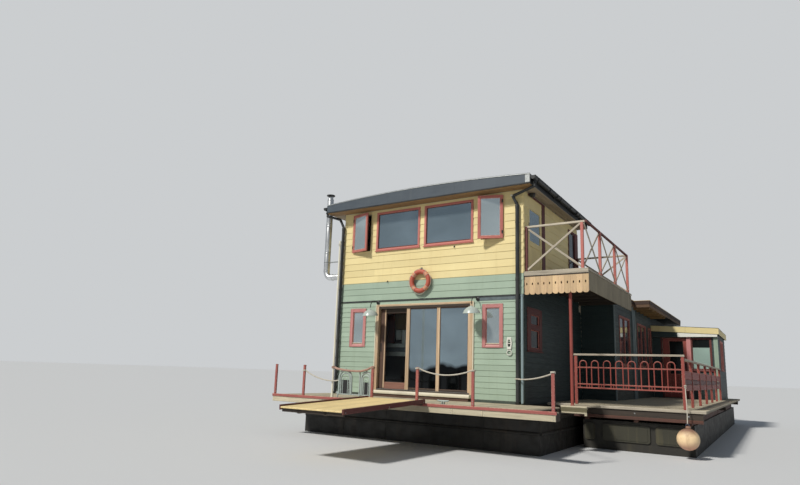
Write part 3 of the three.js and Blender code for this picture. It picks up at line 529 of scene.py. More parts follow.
def rope_mat(name, light, dark):
    m = Mat(name, rough=0.85)
    yarn = m.noise(m.vec("g", (260, 60, 60)), 1, 3, 0.6)
    big = m.noise(m.vec("o", 6), 1, 4, 0.6)
    col = m.mix(m.span(yarn, 0.3, 0.65, 0, 1), lin(*dark), lin(*light))
    col = m.mix(m.span(big, 0.45, 0.75, 0, 0.4), col, m.value(col, 0.6))
    m.bump(yarn, 0.5, 0.002)
    m.p.inputs["Sheen Weight"].default_value = 0.25
    return m.done(col)


ROPE_GREY = rope_mat("rope_grey", (208, 202, 188), (158, 150, 136))
ROPE_ROSE = rope_mat("rope_rose", (186, 150, 132), (132, 98, 84))


def sky_glass(name, col, metal_amount=0.8, rough=0.07, painted_dark_reflection_below=None):
    """Window glass that shows a pale sky in its shine. Lower panes can fall dark below a height: a painted dark
    reflection.
    """
    m = Mat(name, rough=rough, metal=metal_amount)
    wave = m.noise(m.vec("o", (0.8, 0.8, 1.3)), 1, 3, 0.5, 0.8)
    c = m.mix(m.span(wave, 0.35, 0.65, 0, 1), lin(*col), lin(*tuple(int(v * 1.1) for v in col)))
    if painted_dark_reflection_below is not None:
        # below that height, with a wavy edge, the colour turns dark: a painted dark reflection
        z = m.math("ADD", m.height(), m.math("MULTIPLY", m.span(m.noise(m.vec("o", (1.1, 1.1, 0.7)), 1, 2), 0.3, 0.7, -1, 1), 0.16))
        c = m.mix(m.span(z, painted_dark_reflection_below - 0.05, painted_dark_reflection_below + 0.06, 0, 1), lin(24, 26, 28), c)
    m.bump(m.noise(m.vec("o", 1.7), 1, 2), 0.04, 0.02)
    return m.done(c)


GLASS_SKY = sky_glass("glass_sky", (150, 168, 178))
GLASS_PALE = sky_glass("glass_pale", (204, 216, 218))
GLASS_DOOR = sky_glass("glass_door", (158, 176, 186), painted_dark_reflection_below=OFF.z + 0.62)
# the wing window's glass is tinted green: a painted reflection of green plants
GLASS_WING_GREEN_REFLECTION = sky_glass("glass_wing_green_reflection", (176, 200, 188), 0.6, 0.16)
GLASS_NIGHT = sky_glass("glass_night", (34, 38, 38), 0.7, 0.1)
GLASS_DARK = sky_glass("glass_side", (92, 104, 112), 0.75)


def clear_glass(name):
    m = Mat(name)
    t = m.node("ShaderNodeBsdfTransparent")
    t.inputs[0].default_value = (0.9, 0.92, 0.93, 1)
    g = m.node("ShaderNodeBsdfGlossy")
    g.inputs["Roughness"].default_value = 0.04
    g.inputs[0].default_value = (0.15, 0.16, 0.17, 1)
    f = m.node("ShaderNodeFresnel")
    f.inputs[0].default_value = 1.5
    x = m.node("ShaderNodeMixShader")
    m.t.links.new(f.outputs[0], x.inputs[0])
    m.t.links.new(t.outputs[0], x.inputs[1])
    m.t.links.new(g.outputs[0], x.inputs[2])
    m.t.links.new(x.outputs[0], m.out.inputs[0])
    m.t.nodes.remove(m.p)
    return m.m


GLASS_CLEAR = clear_glass("glass_clear")


# ---------------------------------------------------------------- ropes, along the same routes as their solids
def spline(points, step):
    """Points along the centripetal curve through the given ones."""
    p = [Vector(q) for q in points]
    p = [p[0] * 2 - p[1]] + p + [p[-1] * 2 - p[-2]]
    fine = []
    for i in range(1, len(p) - 2):
        a, b, c, d = p[i - 1:i + 3]
        d0, d1, d2 = [max((y - x).length ** 0.5, 1e-4) for x, y in ((a, b), (b, c), (c, d))]
        t1 = ((b - a) / d0 - (c - a) / (d0 + d1) + (c - b) / d1) * d1
        t2 = ((c - b) / d1 - (d - b) / (d1 + d2) + (d - c) / d2) * d1
        for k in range(24):
            t = k / 24
            fine.append(b + t1 * t + (b * -3 + c * 3 - t1 * 2 - t2) * t * t + (b * 2 - c * 2 + t1 + t2) * t ** 3)
    fine.append(p[-2])
    run = [0.0]
    for a, b in zip(fine, fine[1:]):
        run.append(run[-1] + (b - a).length)
    n = max(2, round(run[-1] / step))
    out, j = [], 0
    for i in range(n + 1):
        want = run[-1] * i / n
        while j < len(run) - 2 and run[j + 1] < want:
            j += 1
        f = (want - run[j]) / max(run[j + 1] - run[j], 1e-9)
        out.append(fine[j].lerp(fine[j + 1], min(1, max(0, f))))
    return out, run[-1]


def strands(r):
    lay = 3.4 * 2 * r
    return lambda a, d: 0.88 + 0.15 * abs(math.cos(1.5 * (a - 2 * math.pi * d / lay)))


EDGE_Y = -2040
ROPES = [  # name, radius, start, end, lowest z, its x, share of the run over which y changes
    ("boarding_rope_port", 14, (680.2, EDGE_Y, 420), (1629, -1995, 232), 217, 1450, 1),
    ("boarding_rope_swag", 24, (1444.5, -1950, 512), (2533.5, EDGE_Y, 530), 445, 2150, 0.17),
    ("boarding_rope_entry", 14, (3704.2, EDGE_Y, 540), (4877.8, EDGE_Y, 528), 428, 4298, 1),
]


def slack(a, b, low, at, turn):
    pts = [a, (a[0] + 18, a[1], a[2] - 1)]
    for i in range(1, 12):
        t = i / 12
        x = a[0] + (b[0] - a[0]) * t
        end = a if x < at else b
        pts.append((x, a[1] + (b[1] - a[1]) * min(1, t / turn), low + (end[2] - low) * ((x - at) / (end[0] - at)) ** 2))
    return pts + [(b[0] - 18, b[1], b[2] - 1), b]


def wrap(s, cx, cy, hx, hy, z, r, turns=2, mat=0, start=0.0, corner=None):
    """Turns of rope round a post of half sizes hx, hy."""
    pts, n = [], 28
    rise = r * 2.02
    for i in range(int(turns * n) + 1):
        a = 2 * math.pi * i / n + start
        ca, sa = math.cos(a), math.sin(a)
        k = (abs(ca) ** 4 + abs(sa) ** 4) ** -0.25
        pts.append((cx + (hx + r) * ca * k, cy + (hy + r) * sa * k, z + rise * (i / n - turns / 2)))
    tube(s, pts, r, 12, mat, shape=strands(r))


def rope(name, r, pts, mat, wraps):
    path, length = spline(pts, r * 0.55)
    s = Solid()
    tube(s, path, r, 18, 0, shape=strands(r))
    o = make(name + "_lay", s, mat, replaces=(name,), sharp=60)
    w = Solid()
    for args in wraps:
        wrap(w, *args)
    knots = make(name + "_turns", w, mat, sharp=60)
    centre = [row(*p) for p in path]
    tuple(centre[0])
    [tuple(p) for p in centre]


for (name, r, a, b, low, at, turn), wraps in zip(ROPES, (
        [(650, -2040.5, 30, 20.5, 420, 8, 2), (1629, -1995, 13, 13, 232, 6, 2)],
        [(1420, -1950, 23, 23, 512, 8, 3), (2565, -2040.5, 30, 20.5, 530, 8, 3)],
        [(3674, -2040.5, 30, 20.5, 540, 8, 2), (4908, -2040.5, 30, 20.5, 528, 8, 2)])):
    rope(name, r, slack(a, b, low, at, turn), ROPE_ROSE if "swag" in name else ROPE_GREY, wraps)
a, b, pts = (5037 + 0.598 * 48.2, -70 - 0.801 * 48.2), (6460, -1850), []
for i in range(12):
    t = (i / 11) * 0.93
    pts.append((a[0] + (b[0] - a[0]) * t, a[1] + (b[1] - a[1]) * t, 392 - 31.4 * t + 191.4 * t * t))
pts += [(6444, -1905, 537), (6458, -1965, 540), (6460, -2002, 541), (6460, -2019.8, 541)]
rope("boarding_rope_starboard", 14, pts, ROPE_GREY, [(5037, -70, 47, 47, 392, 7, 2), (6460, -2040.5, 30, 20.5, 541, 8, 2)])


# ---------------------------------------------------------------- sides of the cabin: (along, outward, up) to cabin millimetres
def face_front(y=0.0):
    return lambda q: Vector((q.x, y - q.y, q.z))


def face_right(x):
    return lambda q: Vector((x + q.y, q.x, q.z))


def face_left(x):
    return lambda q: Vector((x - q.y, q.x, q.z))


def face_back(y):
    return lambda q: Vector((q.x, y + q.y, q.z))


def clad(s, T, u0, u1, z0, z1, pitch, holes=(), mat=0, thick=16, top=6, back=0.6):
    """Lapped boards. A board that a hole cuts into is notched round it."""
    n = max(1, round((z1 - z0) / pitch))
    p = (z1 - z0) / n
    for i in range(n):
        a, b = z0 + i * p, z0 + (i + 1) * p
        joints, at = [], u0 + RND.uniform(900, 3600)
        while at < u1 - 500:
            joints.append(at)
            at += RND.uniform(2200, 3900)
        tones = [RND.random() for _ in range(len(joints) + 1)]
        cuts = sorted({a, b} | {z for h in holes for z in (h[2], h[3]) if a + 2 < z < b - 2})
        for lo, hi in zip(cuts, cuts[1:]):
            mid = (lo + hi) / 2
            spans = [(u0, u1)]
            for h in holes:
                if h[2] < mid < h[3]:
                    spans = [x for q in spans for x in ((q[0], min(q[1], h[0])), (max(q[0], h[1]), q[1])) if x[1] - x[0] > 1]
            th = lambda z: thick + (top - thick) * (z - a) / p
            prof = [(back, lo), (th(lo) - (3 if lo == a else 0), lo)]
            if lo == a:
                prof.append((th(lo), lo + 4))
            prof += [(th(hi), hi), (back, hi)]
            for x0, x1 in spans:
                pieces, start = [], x0
                for k, j in enumerate(joints + [1e9]):
                    if j <= start:
                        continue
                    end = min(x1, j)
                    pieces.append((start, end - (1.2 if end < x1 else 0), tones[k]))
                    start = end
                    if end >= x1:
                        break
                for p0, p1, tone in pieces:
                    if p1 - p0 > 2:
                        prism(s, prof, 0, p0, p1, mat, T=T, tone=tone)


def grow(h, m=1.5):
    return (h[0] - m, h[1] + m, h[2] - m, h[3] + m)


DOOR = (1190, 3925, 0, 2120)
LOW_L, LOW_R = (355, 843, 1071, 2057), (4169, 4664, 1071, 2057)
BIG_L, BIG_R = (1076, 2418, 3586, 4630), (2545, 3904, 3586, 4630)
CAS_L, CAS_R = (318, 903, 3586, 4630), (4076, 4667, 3586, 4630)
LOW_WIN, BAL_DOOR, UP_WIN = (165, 1125, 1030, 2005), (270, 1210, 2800, 4640), (3400, 4060, 3300, 4540)
REAR_A, REAR_B, REAR_C = (5100, 6500, 850, 2290), (7700, 9150, 850, 2290), (9600, 10150, 850, 2290)
PORT_A, PORT_B, PORT_C, PORT_UP = (1200, 2400, 1000, 2000), (6000, 7400, 900, 1950), (9600, 11000, 900, 1950), (1400, 2600, 3586, 4560)
BACK_UP = (2000, 3300, 3586, 4500)
WING_DOOR, WING_WIN, WING_SIDE = (6420, 7200, -90, 1980), (7320, 7980, 850, 1980), (11300, 12500, 900, 1950)
BACK_LOW = [(900, 2300, 900, 1950), (3600, 5000, 900, 1950), (6700, 7500, 900, 1950)]
W, STOREY, LINE, SOFFIT = 5157, 2742, 2249, 4715
FLUE_HOLE = (90, 270, 2912, 3088)

s = Solid()
T = face_front()
ARCHI = (DOOR[0] - 30, DOOR[1] + 30, DOOR[2] - 95, DOOR[3] + 30)
clad(s, T, 0, W, -90, LINE - 16, 129.7, [ARCHI, grow(LOW_L), grow(LOW_R)], 0)
clad(s, T, 0, W, LINE + 16, STOREY, 159, [], 0)
clad(s, T, 0, W, STOREY, SOFFIT - 20, 184, [grow(BIG_L), grow(BIG_R), grow(CAS_L, 50), grow(CAS_R, 50)], 1)
make("cladding_front", s, [GREEN, YELLOW])

s = Solid()
T = face_right(W)
clad(s, T, 0, 4498, -148, LINE + 60, 131, [grow(LOW_WIN)], 0)
clad(s, T, 0, 4298, LINE + 60, STOREY, 145, [(20, 4420, 2700, 2780)], 0)
make("cladding_right_lower", s, [DARK_GREEN])
s = Solid()
clad(s, face_right(W), 0, 4300, STOREY + 35, SOFFIT - 20, 184, [grow(BAL_DOOR), grow(UP_WIN)], 0)
clad(s, face_back(4300), 0, W, 2915, SOFFIT - 20, 184, [grow(BACK_UP)], 0)
clad(s, face_left(0), 0, 4300, STOREY, SOFFIT - 20, 184, [grow(PORT_UP), FLUE_HOLE], 0)
make("cladding_upper_sides", s, [YELLOW])
s = Solid()
clad(s, face_left(0), 0, 13498, -148, STOREY - 26, 131, [grow(PORT_A), grow(PORT_B), grow(PORT_C), FLUE_HOLE], 0)
make("cladding_port", s, [GREEN])
s = Solid()
clad(s, face_front(4500), W + 18, 6070, -108, 2715, 131, [], 0)
clad(s, face_right(6070), 4500, 10346, -108, 2715, 131, [grow(REAR_A), grow(REAR_B), grow(REAR_C)], 0)
clad(s, face_right(6070), 10350, 13498, 2425, 2715, 131, [], 0)
clad(s, face_front(10350), 6089, 8150, -108, 2005, 131, [grow(WING_DOOR), grow(WING_WIN)], 0)
clad(s, face_right(8150), 10350, 13498, -108, 2098, 131, [grow(WING_SIDE)], 0)
clad(s, face_back(13610), 0, 6070, -148, 2715, 131, [grow(h) for h in BACK_LOW[:2]], 0)
clad(s, face_back(13610), 6070, 8150, -108, 2098, 131, [grow(BACK_LOW[2])], 0)
prism(s, [(6072, 2099.5), (8149, 2099.5), (8149, 2103), (6072, 2226)], 1, 13610.6, 13622, 0, along=0)
make("cladding_rear", s, [DARK_GREEN])


# ---------------------------------------------------------------- trim on the front
s = Solid()
T = face_front()
# flashing between the lower and the upper boards, with its lead apron to the right
prism(s, [(0, LINE - 16), (22, LINE - 16), (24, LINE - 4), (3, LINE + 20), (0, LINE + 20)], 0, -2, W + 2, 0, T=T)
for u0, u1 in ((-2, 1650), (1652, 3300), (3302, W + 2)):
    cbox(s, u0, u1, 22, 26, LINE - 20, LINE - 2, 1, 0, T=T)
cbox(s, 4040, W, 12, 19, LINE - 100, LINE - 17, 1.5, 1, T=T)
make("front_flashing", s, [BLACK, LEAD])
s = Solid()
cbox(s, 4, W - 4, 6, 20, -148, -91, 2, 0, T=T)
make("front_base_board", s, [paint("paint_base_strip", (66, 78, 70), (54, 64, 58), dirt=0.5, dirt_col=(88, 84, 64))])
# door architrave
s = Solid()
for u0, u1, z0, z1 in ((DOOR[0] - 29, DOOR[0] - 1, -88, DOOR[3] + 28), (DOOR[1] + 1, DOOR[1] + 29, -88, DOOR[3] + 28), (DOOR[0] - 1, DOOR[1] + 1, DOOR[3], DOOR[3] + 28)):
    cbox(s, u0, u1, 0.8, 38, z0, z1, 3, 0 if u1 - u0 < 100 else 1, T=T)
make("front_door_architrave", s, [CREAM, TAN])


# ---------------------------------------------------------------- windows
def window(name, T, rect, red, glass, bars=(), rail=None, body="boat", replaces=(), out=28, deep=62, rim=55, sill=True, bead=None, split=()):
    """A timber window: jambs, head, sill with a drip, beads and the panes. u is along, d outward, z up."""
    u0, u1, z0, z1 = rect[0] + 0.8, rect[1] - 0.8, rect[2] + 0.8, rect[3] - 0.8
    s = Solid()
    c = 3.5
    cbox(s, u0, u0 + rim, -deep, out, z0, z1, c, 0, T=T)
    cbox(s, u1 - rim, u1, -deep, out, z0, z1, c, 0, T=T)
    cbox(s, u0 + rim - 1, u1 - rim + 1, -deep, out - 2, z1 - rim, z1, c, 0, T=T)
    # bottom rail with a weathered slope towards the outside
    prism(s, [(-deep, z0), (out + 4, z0), (out + 6, z0 + 14), (out - 2, z0 + rim * 0.55), (-8, z0 + rim + 6), (-deep, z0 + rim + 6)], 0, u0 + rim - 1, u1 - rim + 1, 0, T=T)
    if sill:
        prism(s, [(2, z0 - 26), (out + 22, z0 - 26), (out + 24, z0 - 8), (out - 4, z0 + 2), (2, z0 + 2)], 0, u0 - 14, u1 + 14, 0, T=T)
    xs = [u0 + rim] + [v for x in bars for v in (x - 21, x + 21)] + [u1 - rim]
    for x in bars:
        cbox(s, x - 21, x + 21, -deep + 8, out - 6, z0 + rim, z1 - rim, c, 0, T=T)
    bz0, bz1 = z0 + rim + 5, z1 - rim
    for a, b in zip(xs[::2], xs[1::2]):
        # inner beads, one step back
        k = 13
        for q in ((a, a + k, bz0, bz1), (b - k, b, bz0, bz1), (a + k, b - k, bz1 - k, bz1), (a + k, b - k, bz0, bz0 + k)):
            cbox(s, q[0], q[1], -20, 8, q[2], q[3], 4, 1, T=T)
        for zz in split:
            cbox(s, a, b, -deep + 10, out - 8, zz - 21, zz + 21, c, 0, T=T)
        cbox(s, a + 2, b - 2, -17, -9, bz0 + 2, bz1 - 2, 0.8, 2, T=T)
    return make(name, s, [red, bead or red, glass], body, replaces)


T = face_front()
BEAD = paint("bead_pale_rose", (200, 128, 116), (184, 112, 102), dirt=0.25, dirt_col=(140, 90, 76), worn=(226, 190, 170), chips=0.5, sun_bleach_and_top_highlight=0.8, sun_bleach_and_highlight_col=(232, 206, 180))
window("window_lower_left", T, LOW_L, ROSE, GLASS_PALE, replaces=("lower_window_left",), bead=BEAD, rim=78, sill=False)
window("window_lower_right", T, LOW_R, ROSE, GLASS_PALE, replaces=("lower_window_right",), bead=BEAD, rim=78, sill=False)
s = Solid()
for a, b, c, d in (LOW_L, LOW_R):
    for q in ((a - 10, a - 1, c - 4, d + 12), (b + 1, b + 10, c - 4, d + 12), (a - 1, b + 1, d + 1, d + 12)):
        cbox(s, q[0], q[1], 16.8, 30, q[2], q[3], 3, 0, T=T)
    cbox(s, a + 82, b - 82, 8.5, 20, c + 86, c + 104, 3, 1, T=T)
make("window_lower_trims", s, [ROSE, CREAM])
window("window_upper_left", T, BIG_L, RED, GLASS_SKY, replaces=("upper_window_left",), bead=RED_IN_PAINTED_SHADE)
window("window_upper_right", T, BIG_R, RED, GLASS_SKY, replaces=("upper_window_right",), bead=RED_IN_PAINTED_SHADE)
TR = face_right(W)
window("window_side_upper", TR, UP_WIN, RED_IN_PAINTED_SHADE, GLASS_DARK, replaces=("side_upper_window",))
s = Solid()
cbox(s, 4063, 4290, 17, 28, UP_WIN[2] - 12, UP_WIN[3] + 12, 3, 0, T=TR)
make("window_side_upper_board", s, [RED_IN_PAINTED_SHADE])
# the lower one: broad boards round a low light and a shallow one above it
s = Solid()
a, b, c, d = LOW_WIN[0] + 0.8, LOW_WIN[1] - 0.8, LOW_WIN[2] + 0.8, LOW_WIN[3] - 0.8
for q in ((a, 384, c, d), (950, b, c, d), (383, 951, c, 1090), (383, 951, 1503, 1625), (383, 951, 1850, d)):
    cbox(s, q[0], q[1], -62, 28 if q[3] - q[2] > 600 else 26, q[2], q[3], 4, 0, T=TR)
k = 13
for lz0, lz1 in ((1090, 1503), (1625, 1850)):
    for q in ((384, 384 + k, lz0, lz1), (950 - k, 950, lz0, lz1), (384 + k, 950 - k, lz1 - k, lz1), (384 + k, 950 - k, lz0, lz0 + k)):
        cbox(s, q[0], q[1], -20, 8, q[2], q[3], 4, 1, T=TR)
    cbox(s, 386, 948, -17, -9, lz0 + 2, lz1 - 2, 0.8, 2, T=TR)
prism(s, [(2, c - 26), (50, c - 26), (52, c - 8), (24, c + 2), (2, c + 2)], 0, a - 14, b + 14, 0, T=TR)
make("window_side_lower", s, [RED_IN_PAINTED_SHADE, RED, GLASS_NIGHT], replaces=("side_lower_window",))
TR = face_right(6070)
window("window_rear_a", TR, REAR_A, RED_RAIL, GLASS_DARK, bars=(5800,), replaces=("rear_window_a",))
window("window_rear_b", TR, REAR_B, RED_RAIL, GLASS_DARK, bars=(8425,), replaces=("rear_window_b",))
window("window_rear_c", TR, REAR_C, RED_RAIL, GLASS_DARK)
TL = face_left(0)
for n, r, b in (("port_a", PORT_A, (1800,)), ("port_b", PORT_B, (6700,)), ("port_c", PORT_C, (10300,)), ("port_upper", PORT_UP, (2000,))):
    window("window_" + n, TL, r, RED, GLASS_SKY, bars=b)
window("window_back_upper", face_back(4300), BACK_UP, RED, GLASS_SKY, bars=(2650,))
for n, r, b in zip("abc", BACK_LOW, ((1600,), (4300,), ())):
    window("window_back_" + n, face_back(13610), r, RED, GLASS_SKY, bars=b)
window("window_wing_front", face_front(10350), WING_WIN, RED_IN_PAINTED_SHADE, GLASS_WING_GREEN_REFLECTION)
window("window_wing_side", face_right(8150), WING_SIDE, RED, GLASS_SKY, bars=(11900,))


# casements, each hinged at its outer jamb and standing open
def casement(name, rect, left, glass):
    hx, ang = (rect[0], -14) if left else (rect[1], 18)
    ca, sa = math.cos(math.radians(ang)), math.sin(math.radians(ang))

    def T(q):  # u from the hinge, d outward from the leaf's inner face
        x, y = (q.x if left else -q.x), -q.y
        return Vector((hx + x * ca - y * sa, -7 + x * sa + y * ca, q.z))
    w = rect[1] - rect[0]
    z0, z1 = rect[2], rect[3]
    s = Solid()
    R = 62
    for q in ((0, R, z0, z1), (w - R, w, z0, z1)):
        cbox(s, q[0], q[1], 1, 43, q[2], q[3], 4, 0, T=T)
    for q in ((R - 1, w - R + 1, z1 - R, z1), (R - 1, w - R + 1, z0, z0 + R)):
        cbox(s, q[0], q[1], 1, 42, q[2], q[3], 4, 0, T=T)
    k = 12
    for q in ((R, R + k, z0 + R, z1 - R), (w - R - k, w - R, z0 + R, z1 - R), (R, w - R, z1 - R - k, z1 - R), (R, w - R, z0 + R, z0 + R + k)):
        cbox(s, q[0], q[1], 12, 34, q[2], q[3], 3.5, 1, T=T)
    cbox(s, R + 2, w - R - 2, 19, 26, z0 + R + 2, z1 - R - 2, 0.8, 2, T=T)
    # drip mould, stay and catch
    prism(s, [(40, z0 + 6), (56, z0 + 8), (54, z0 + 16), (40, z0 + 26)], 0, 4, w - 4, 0, T=T)
    cbox(s, w - 52, w - 30, -6, 1, z0 + 430, z0 + 560, 2, 3, T=T)
    tube(s, [(w - 41, 0, z0 + 470), (w - 41, -16, z0 + 470), (w - 41, -24, z0 + 500), (w - 41, -24, z0 + 560)], 5, 8, 3, T=T)
    for z in (z0 + 150, z1 - 150):
        cbox(s, -3, 34, 42, 47, z - 40, z + 40, 1.5, 3, T=T)
    return make(name, s, [RED, BEAD, glass, BLACK_IRON], "casement_port" if left else "casement_starboard", ("casement_left" if left else "casement_right",))


casement("casement_leaf_port", CAS_L, True, GLASS_PALE)
casement("casement_leaf_starboard", CAS_R, False, GLASS_PALE)
# the casement openings' linings
s = Solid()
for a, b, c, d in (CAS_L, CAS_R):
    for q in ((a - 49, a + 21, c - 49, d + 49), (b - 21, b + 49, c - 49, d + 49), (a + 21, b - 21, d - 21, d + 49), (a + 21, b - 21, c - 49, c + 21)):
        cbox(s, q[0], q[1], 0.8, 5.5, q[2], q[3], 1.5, 0, T=face_front())
make("casement_linings", s, [YELLOW])

# ---------------------------------------------------------------- front sliding door
T = face_front()
s = Solid()
x0, x1, z0, z1 = DOOR[0] + 0.8, DOOR[1] - 0.8, 0.8, DOOR[3] - 0.8
J = 72
for q in ((x0, x0 + J), (x1 - J, x1)):
    cbox(s, q[0], q[1], -117, 31, z0, z1, 4, 0, T=T)
# the lower part of the head is dark timber: painted shade under the head
cbox(s, x0 + J - 1, x1 - J + 1, -117, 30, z1 - J, z1 - 22, 4, 2, T=T)
cbox(s, x0 + J - 1, x1 - J + 1, -117, 34, z1 - 21, z1, 3, 0, T=T)
cbox(s, x0 + J - 1, x1 - J + 1, -117, 30, z0, z0 + 29, 4, 2, T=T)
for d in (12, -34, -80):
    cbox(s, x0 + J, x1 - J, d - 3, d + 3, z0 + 29, z0 + 35, 1, 1, T=T)
# a dark strip under the head: painted shade
cbox(s, x0 + J, x1 - J, 19, 27, z1 - J - 12, z1 - J, 2, 2, T=T)
make("front_door_lining", s, [TAN, GALV, DARK_WOOD], replaces=("front_door_frame",))

s = Solid()
zi0, zi1, xi1 = 37, DOOR[3] - 0.5 - J - 1.5, DOOR[1] - 0.5 - J - 1
for a, b in ((2095, 3002), (3004, xi1)):
    l = 95 if a == 2095 else 41
    r = 42 if a == 2095 else 59
    cbox(s, a, a + l, -40, 8, zi0, zi1, 4, 0, T=T)
    cbox(s, b - r, b, -40, 8, zi0, zi1, 4, 0, T=T)
    # the top rails are brown where the other rails are tan: painted shade under the door head
    cbox(s, a + l - 1, b - r + 1, -40, 6, zi1 - 26, zi1, 4, 1, T=T)
    cbox(s, a + l - 1, b - r + 1, -40, 6, zi0, zi0 + 42, 4, 3, T=T)
    k = 12
    for q in ((a + l, a + l + k, zi0 + 42, zi1 - 26), (b - r - k, b - r, zi0 + 42, zi1 - 26), (a + l, b - r, zi1 - 26 - k, zi1 - 26), (a + l, b - r, zi0 + 42, zi0 + 42 + k)):
        cbox(s, q[0], q[1], -30, -4, q[2], q[3], 3, 1, T=T)
    cbox(s, a + l + 2, b - r - 2, -20, -13, zi0 + 44, zi1 - 28, 0.8, 2, T=T)
make("front_door_fixed_panels", s, [TAN, BROWN, GLASS_DOOR, DARK_WOOD], replaces=("door_fixed_leaves",))

s = Solid()
a, b, z0, z1 = DOOR[0] + 0.5 + J + 8, 2187, 38, zi1 - 6
# the recessed leaf is brown with a dark top rail and a red-brown bottom rail, darker than the tan leaves: painted shade
# of a leaf set back in the frame
cbox(s, a, a + 170, -97, -53, z0, z1, 4, 0, T=T)
cbox(s, b - 80, b, -97, -53, z0, z1, 4, 0, T=T)
cbox(s, a + 169, b - 79, -96, -54, z1 - 100, z1, 4, 4, T=T)
cbox(s, a + 169, b - 79, -96, -54, z0, z0 + 160, 4, 1, T=T)
for q in ((a + 170, a + 182, z0 + 160, z1 - 100), (b - 92, b - 80, z0 + 160, z1 - 100), (a + 170, b - 80, z1 - 112, z1 - 100), (a + 170, b - 80, z0 + 160, z0 + 172)):
    cbox(s, q[0], q[1], -86, -62, q[2], q[3], 3, 0, T=T)
# a thin tan strip along the stile: a painted highlight on its lit edge
cbox(s, a + 138, a + 168, -53, -49, z0 + 20, z1 - 20, 1.5, 5, T=T)
cbox(s, a + 172, b - 82, -78, -71, z0 + 162, z1 - 102, 0.8, 2, T=T)
cbox(s, a + 34, a + 62, -54, -47, z0 + 920, z0 + 1130, 2, 3, T=T)
make("front_door_sliding_panel", s, [BROWN, wood("door_bottom_rail", (152, 108, 92), (120, 82, 68), worn=(170, 130, 110)), GLASS_CLEAR, BLACK_IRON, DARK_WOOD, TAN], "door_leaf", ("door_sliding_leaf",))

s = Solid()
prism(s, [(33, -75), (200, -75), (206, -62), (204, -20), (192, -2), (33, 3)], 0, 1170, 3930, 0, T=T)
cbox(s, 1200, 3895, 30, 175, -148, -75, 3, 1, T=T)
for x in (1200, 2095, 2985, 3871):
    cbox(s, x, x + 24, 175, 182, -148, -76, 2, 1, T=T)
make("front_door_threshold", s, [CREAM, BROWN], replaces=("front_door_sill",))

# what shows through the clear pane: a plain counter and shelves
s = Solid()
cbox(s, 900, 1760, 586, 1140, -20, 865, 5, 0)
cbox(s, 880, 1780, 550, 1150, 866, 976, 5, 2)
cbox(s, 880, 1780, 576, 604, 976, 1092, 3, 1)
cbox(s, 880, 1780, 552, 606, 1092, 1190, 4, 2)
cbox(s, 1040, 1338, 606, 640, 1192, 2110, 4, 3)
cbox(s, 1345, 1700, 606, 646, 1560, 2130, 4, 4)
cbox(s, 1395, 1560, 606, 640, 1290, 1545, 4, 2)
cbox(s, 1585, 1700, 606, 640, 1192, 1545, 4, 2)
cbox(s, 1345, 1700, 641, 660, 1192, 1556, 2, 0)
make("galley_counter", s, [DARK_WOOD, paint("shelf_grey", (120, 128, 130), (104, 112, 116)), paint("worktop_pale", (216, 222, 214), (196, 204, 196)),
                           wood("cupboard_red_brown", (150, 84, 66), (112, 58, 46)), wood("cupboard_olive", (140, 116, 74), (108, 86, 54))])


# ---------------------------------------------------------------- leaves on hinges: balcony door and wing door
def leaf(name, T, rect, thick, out, rails, paint_mat, glass, body, replaces, left=90, right=90, handle_u=None):
    u0, u1, z0, z1 = rect
    s = Solid()
    cbox(s, u0, u0 + left, out - thick, out, z0, z1, 4, 0, T=T)
    cbox(s, u1 - right, u1, out - thick, out, z0, z1, 4, 0, T=T)
    for a, b, kind in rails:
        if kind == "rail":
            cbox(s, u0 + left - 1, u1 - right + 1, out - thick + 1, out - 1, a, b, 4, 0, T=T)
        elif kind == "panel":
            n = 5
            w = (u1 - right - u0 - left) / n
            for i in range(n):
                cbox(s, u0 + left + i * w + 0.6, u0 + left + (i + 1) * w - 0.6, out - thick + 12, out - 13, a, b, 3, 0, T=T)
        else:
            k = 12
            for q in ((u0 + left, u0 + left + k, a, b), (u1 - right - k, u1 - right, a, b), (u0 + left, u1 - right, b - k, b), (u0 + left, u1 - right, a, a + k)):
                cbox(s, q[0], q[1], out - thick + 10, out - 10, q[2], q[3], 3, 0, T=T)
            cbox(s, u0 + left + 2, u1 - right - 2, out - thick / 2 - 4, out - thick / 2 + 3, a + 2, b - 2, 0.8, 1, T=T)
    hu = handle_u
    cbox(s, hu - 20, hu + 20, out, out + 4, z0 + 960, z0 + 1180, 2, 2, T=T)
    tube(s, [(hu, out + 3, z0 + 1090), (hu, out + 42, z0 + 1090), (hu + (14 if hu < (u0 + u1) / 2 else -14), out + 48, z0 + 1090), (hu + (105 if hu < (u0 + u1) / 2 else -105), out + 48, z0 + 1088)], 8, 10, 2, T=T)
    return make(name, s, [paint_mat, glass, BLACK_IRON], body, replaces)


z0, z1 = 2806, 4632
leaf("balcony_door_leaf_panel", face_right(W), (278, 1202, z0, z1), 45, 15,
     [(z0, z0 + 170, "rail"), (z0 + 640, z0 + 760, "rail"), (4345, z1, "rail"), (z0 + 170, z0 + 640, "panel"), (z0 + 760, 4345, "glass")],
     YELLOW, GLASS_SKY, "balcony_door_leaf", ("balcony_door",), handle_u=322)
z0, z1 = -82, 1972
leaf("wing_door_leaf_panel", face_front(10350), (6428, 7192, z0, z1), 45, -50 + 45,
     [(z0, z0 + 180, "rail"), (z0 + 720, z0 + 800, "rail"), (z1 - 100, z1, "rail"), (z0 + 180, z0 + 720, "panel"), (z0 + 800, z1 - 100, "glass")],
     RED_RAIL, GLASS_NIGHT, "wing_door_leaf", ("wing_door",), left=210, right=95, handle_u=7140)
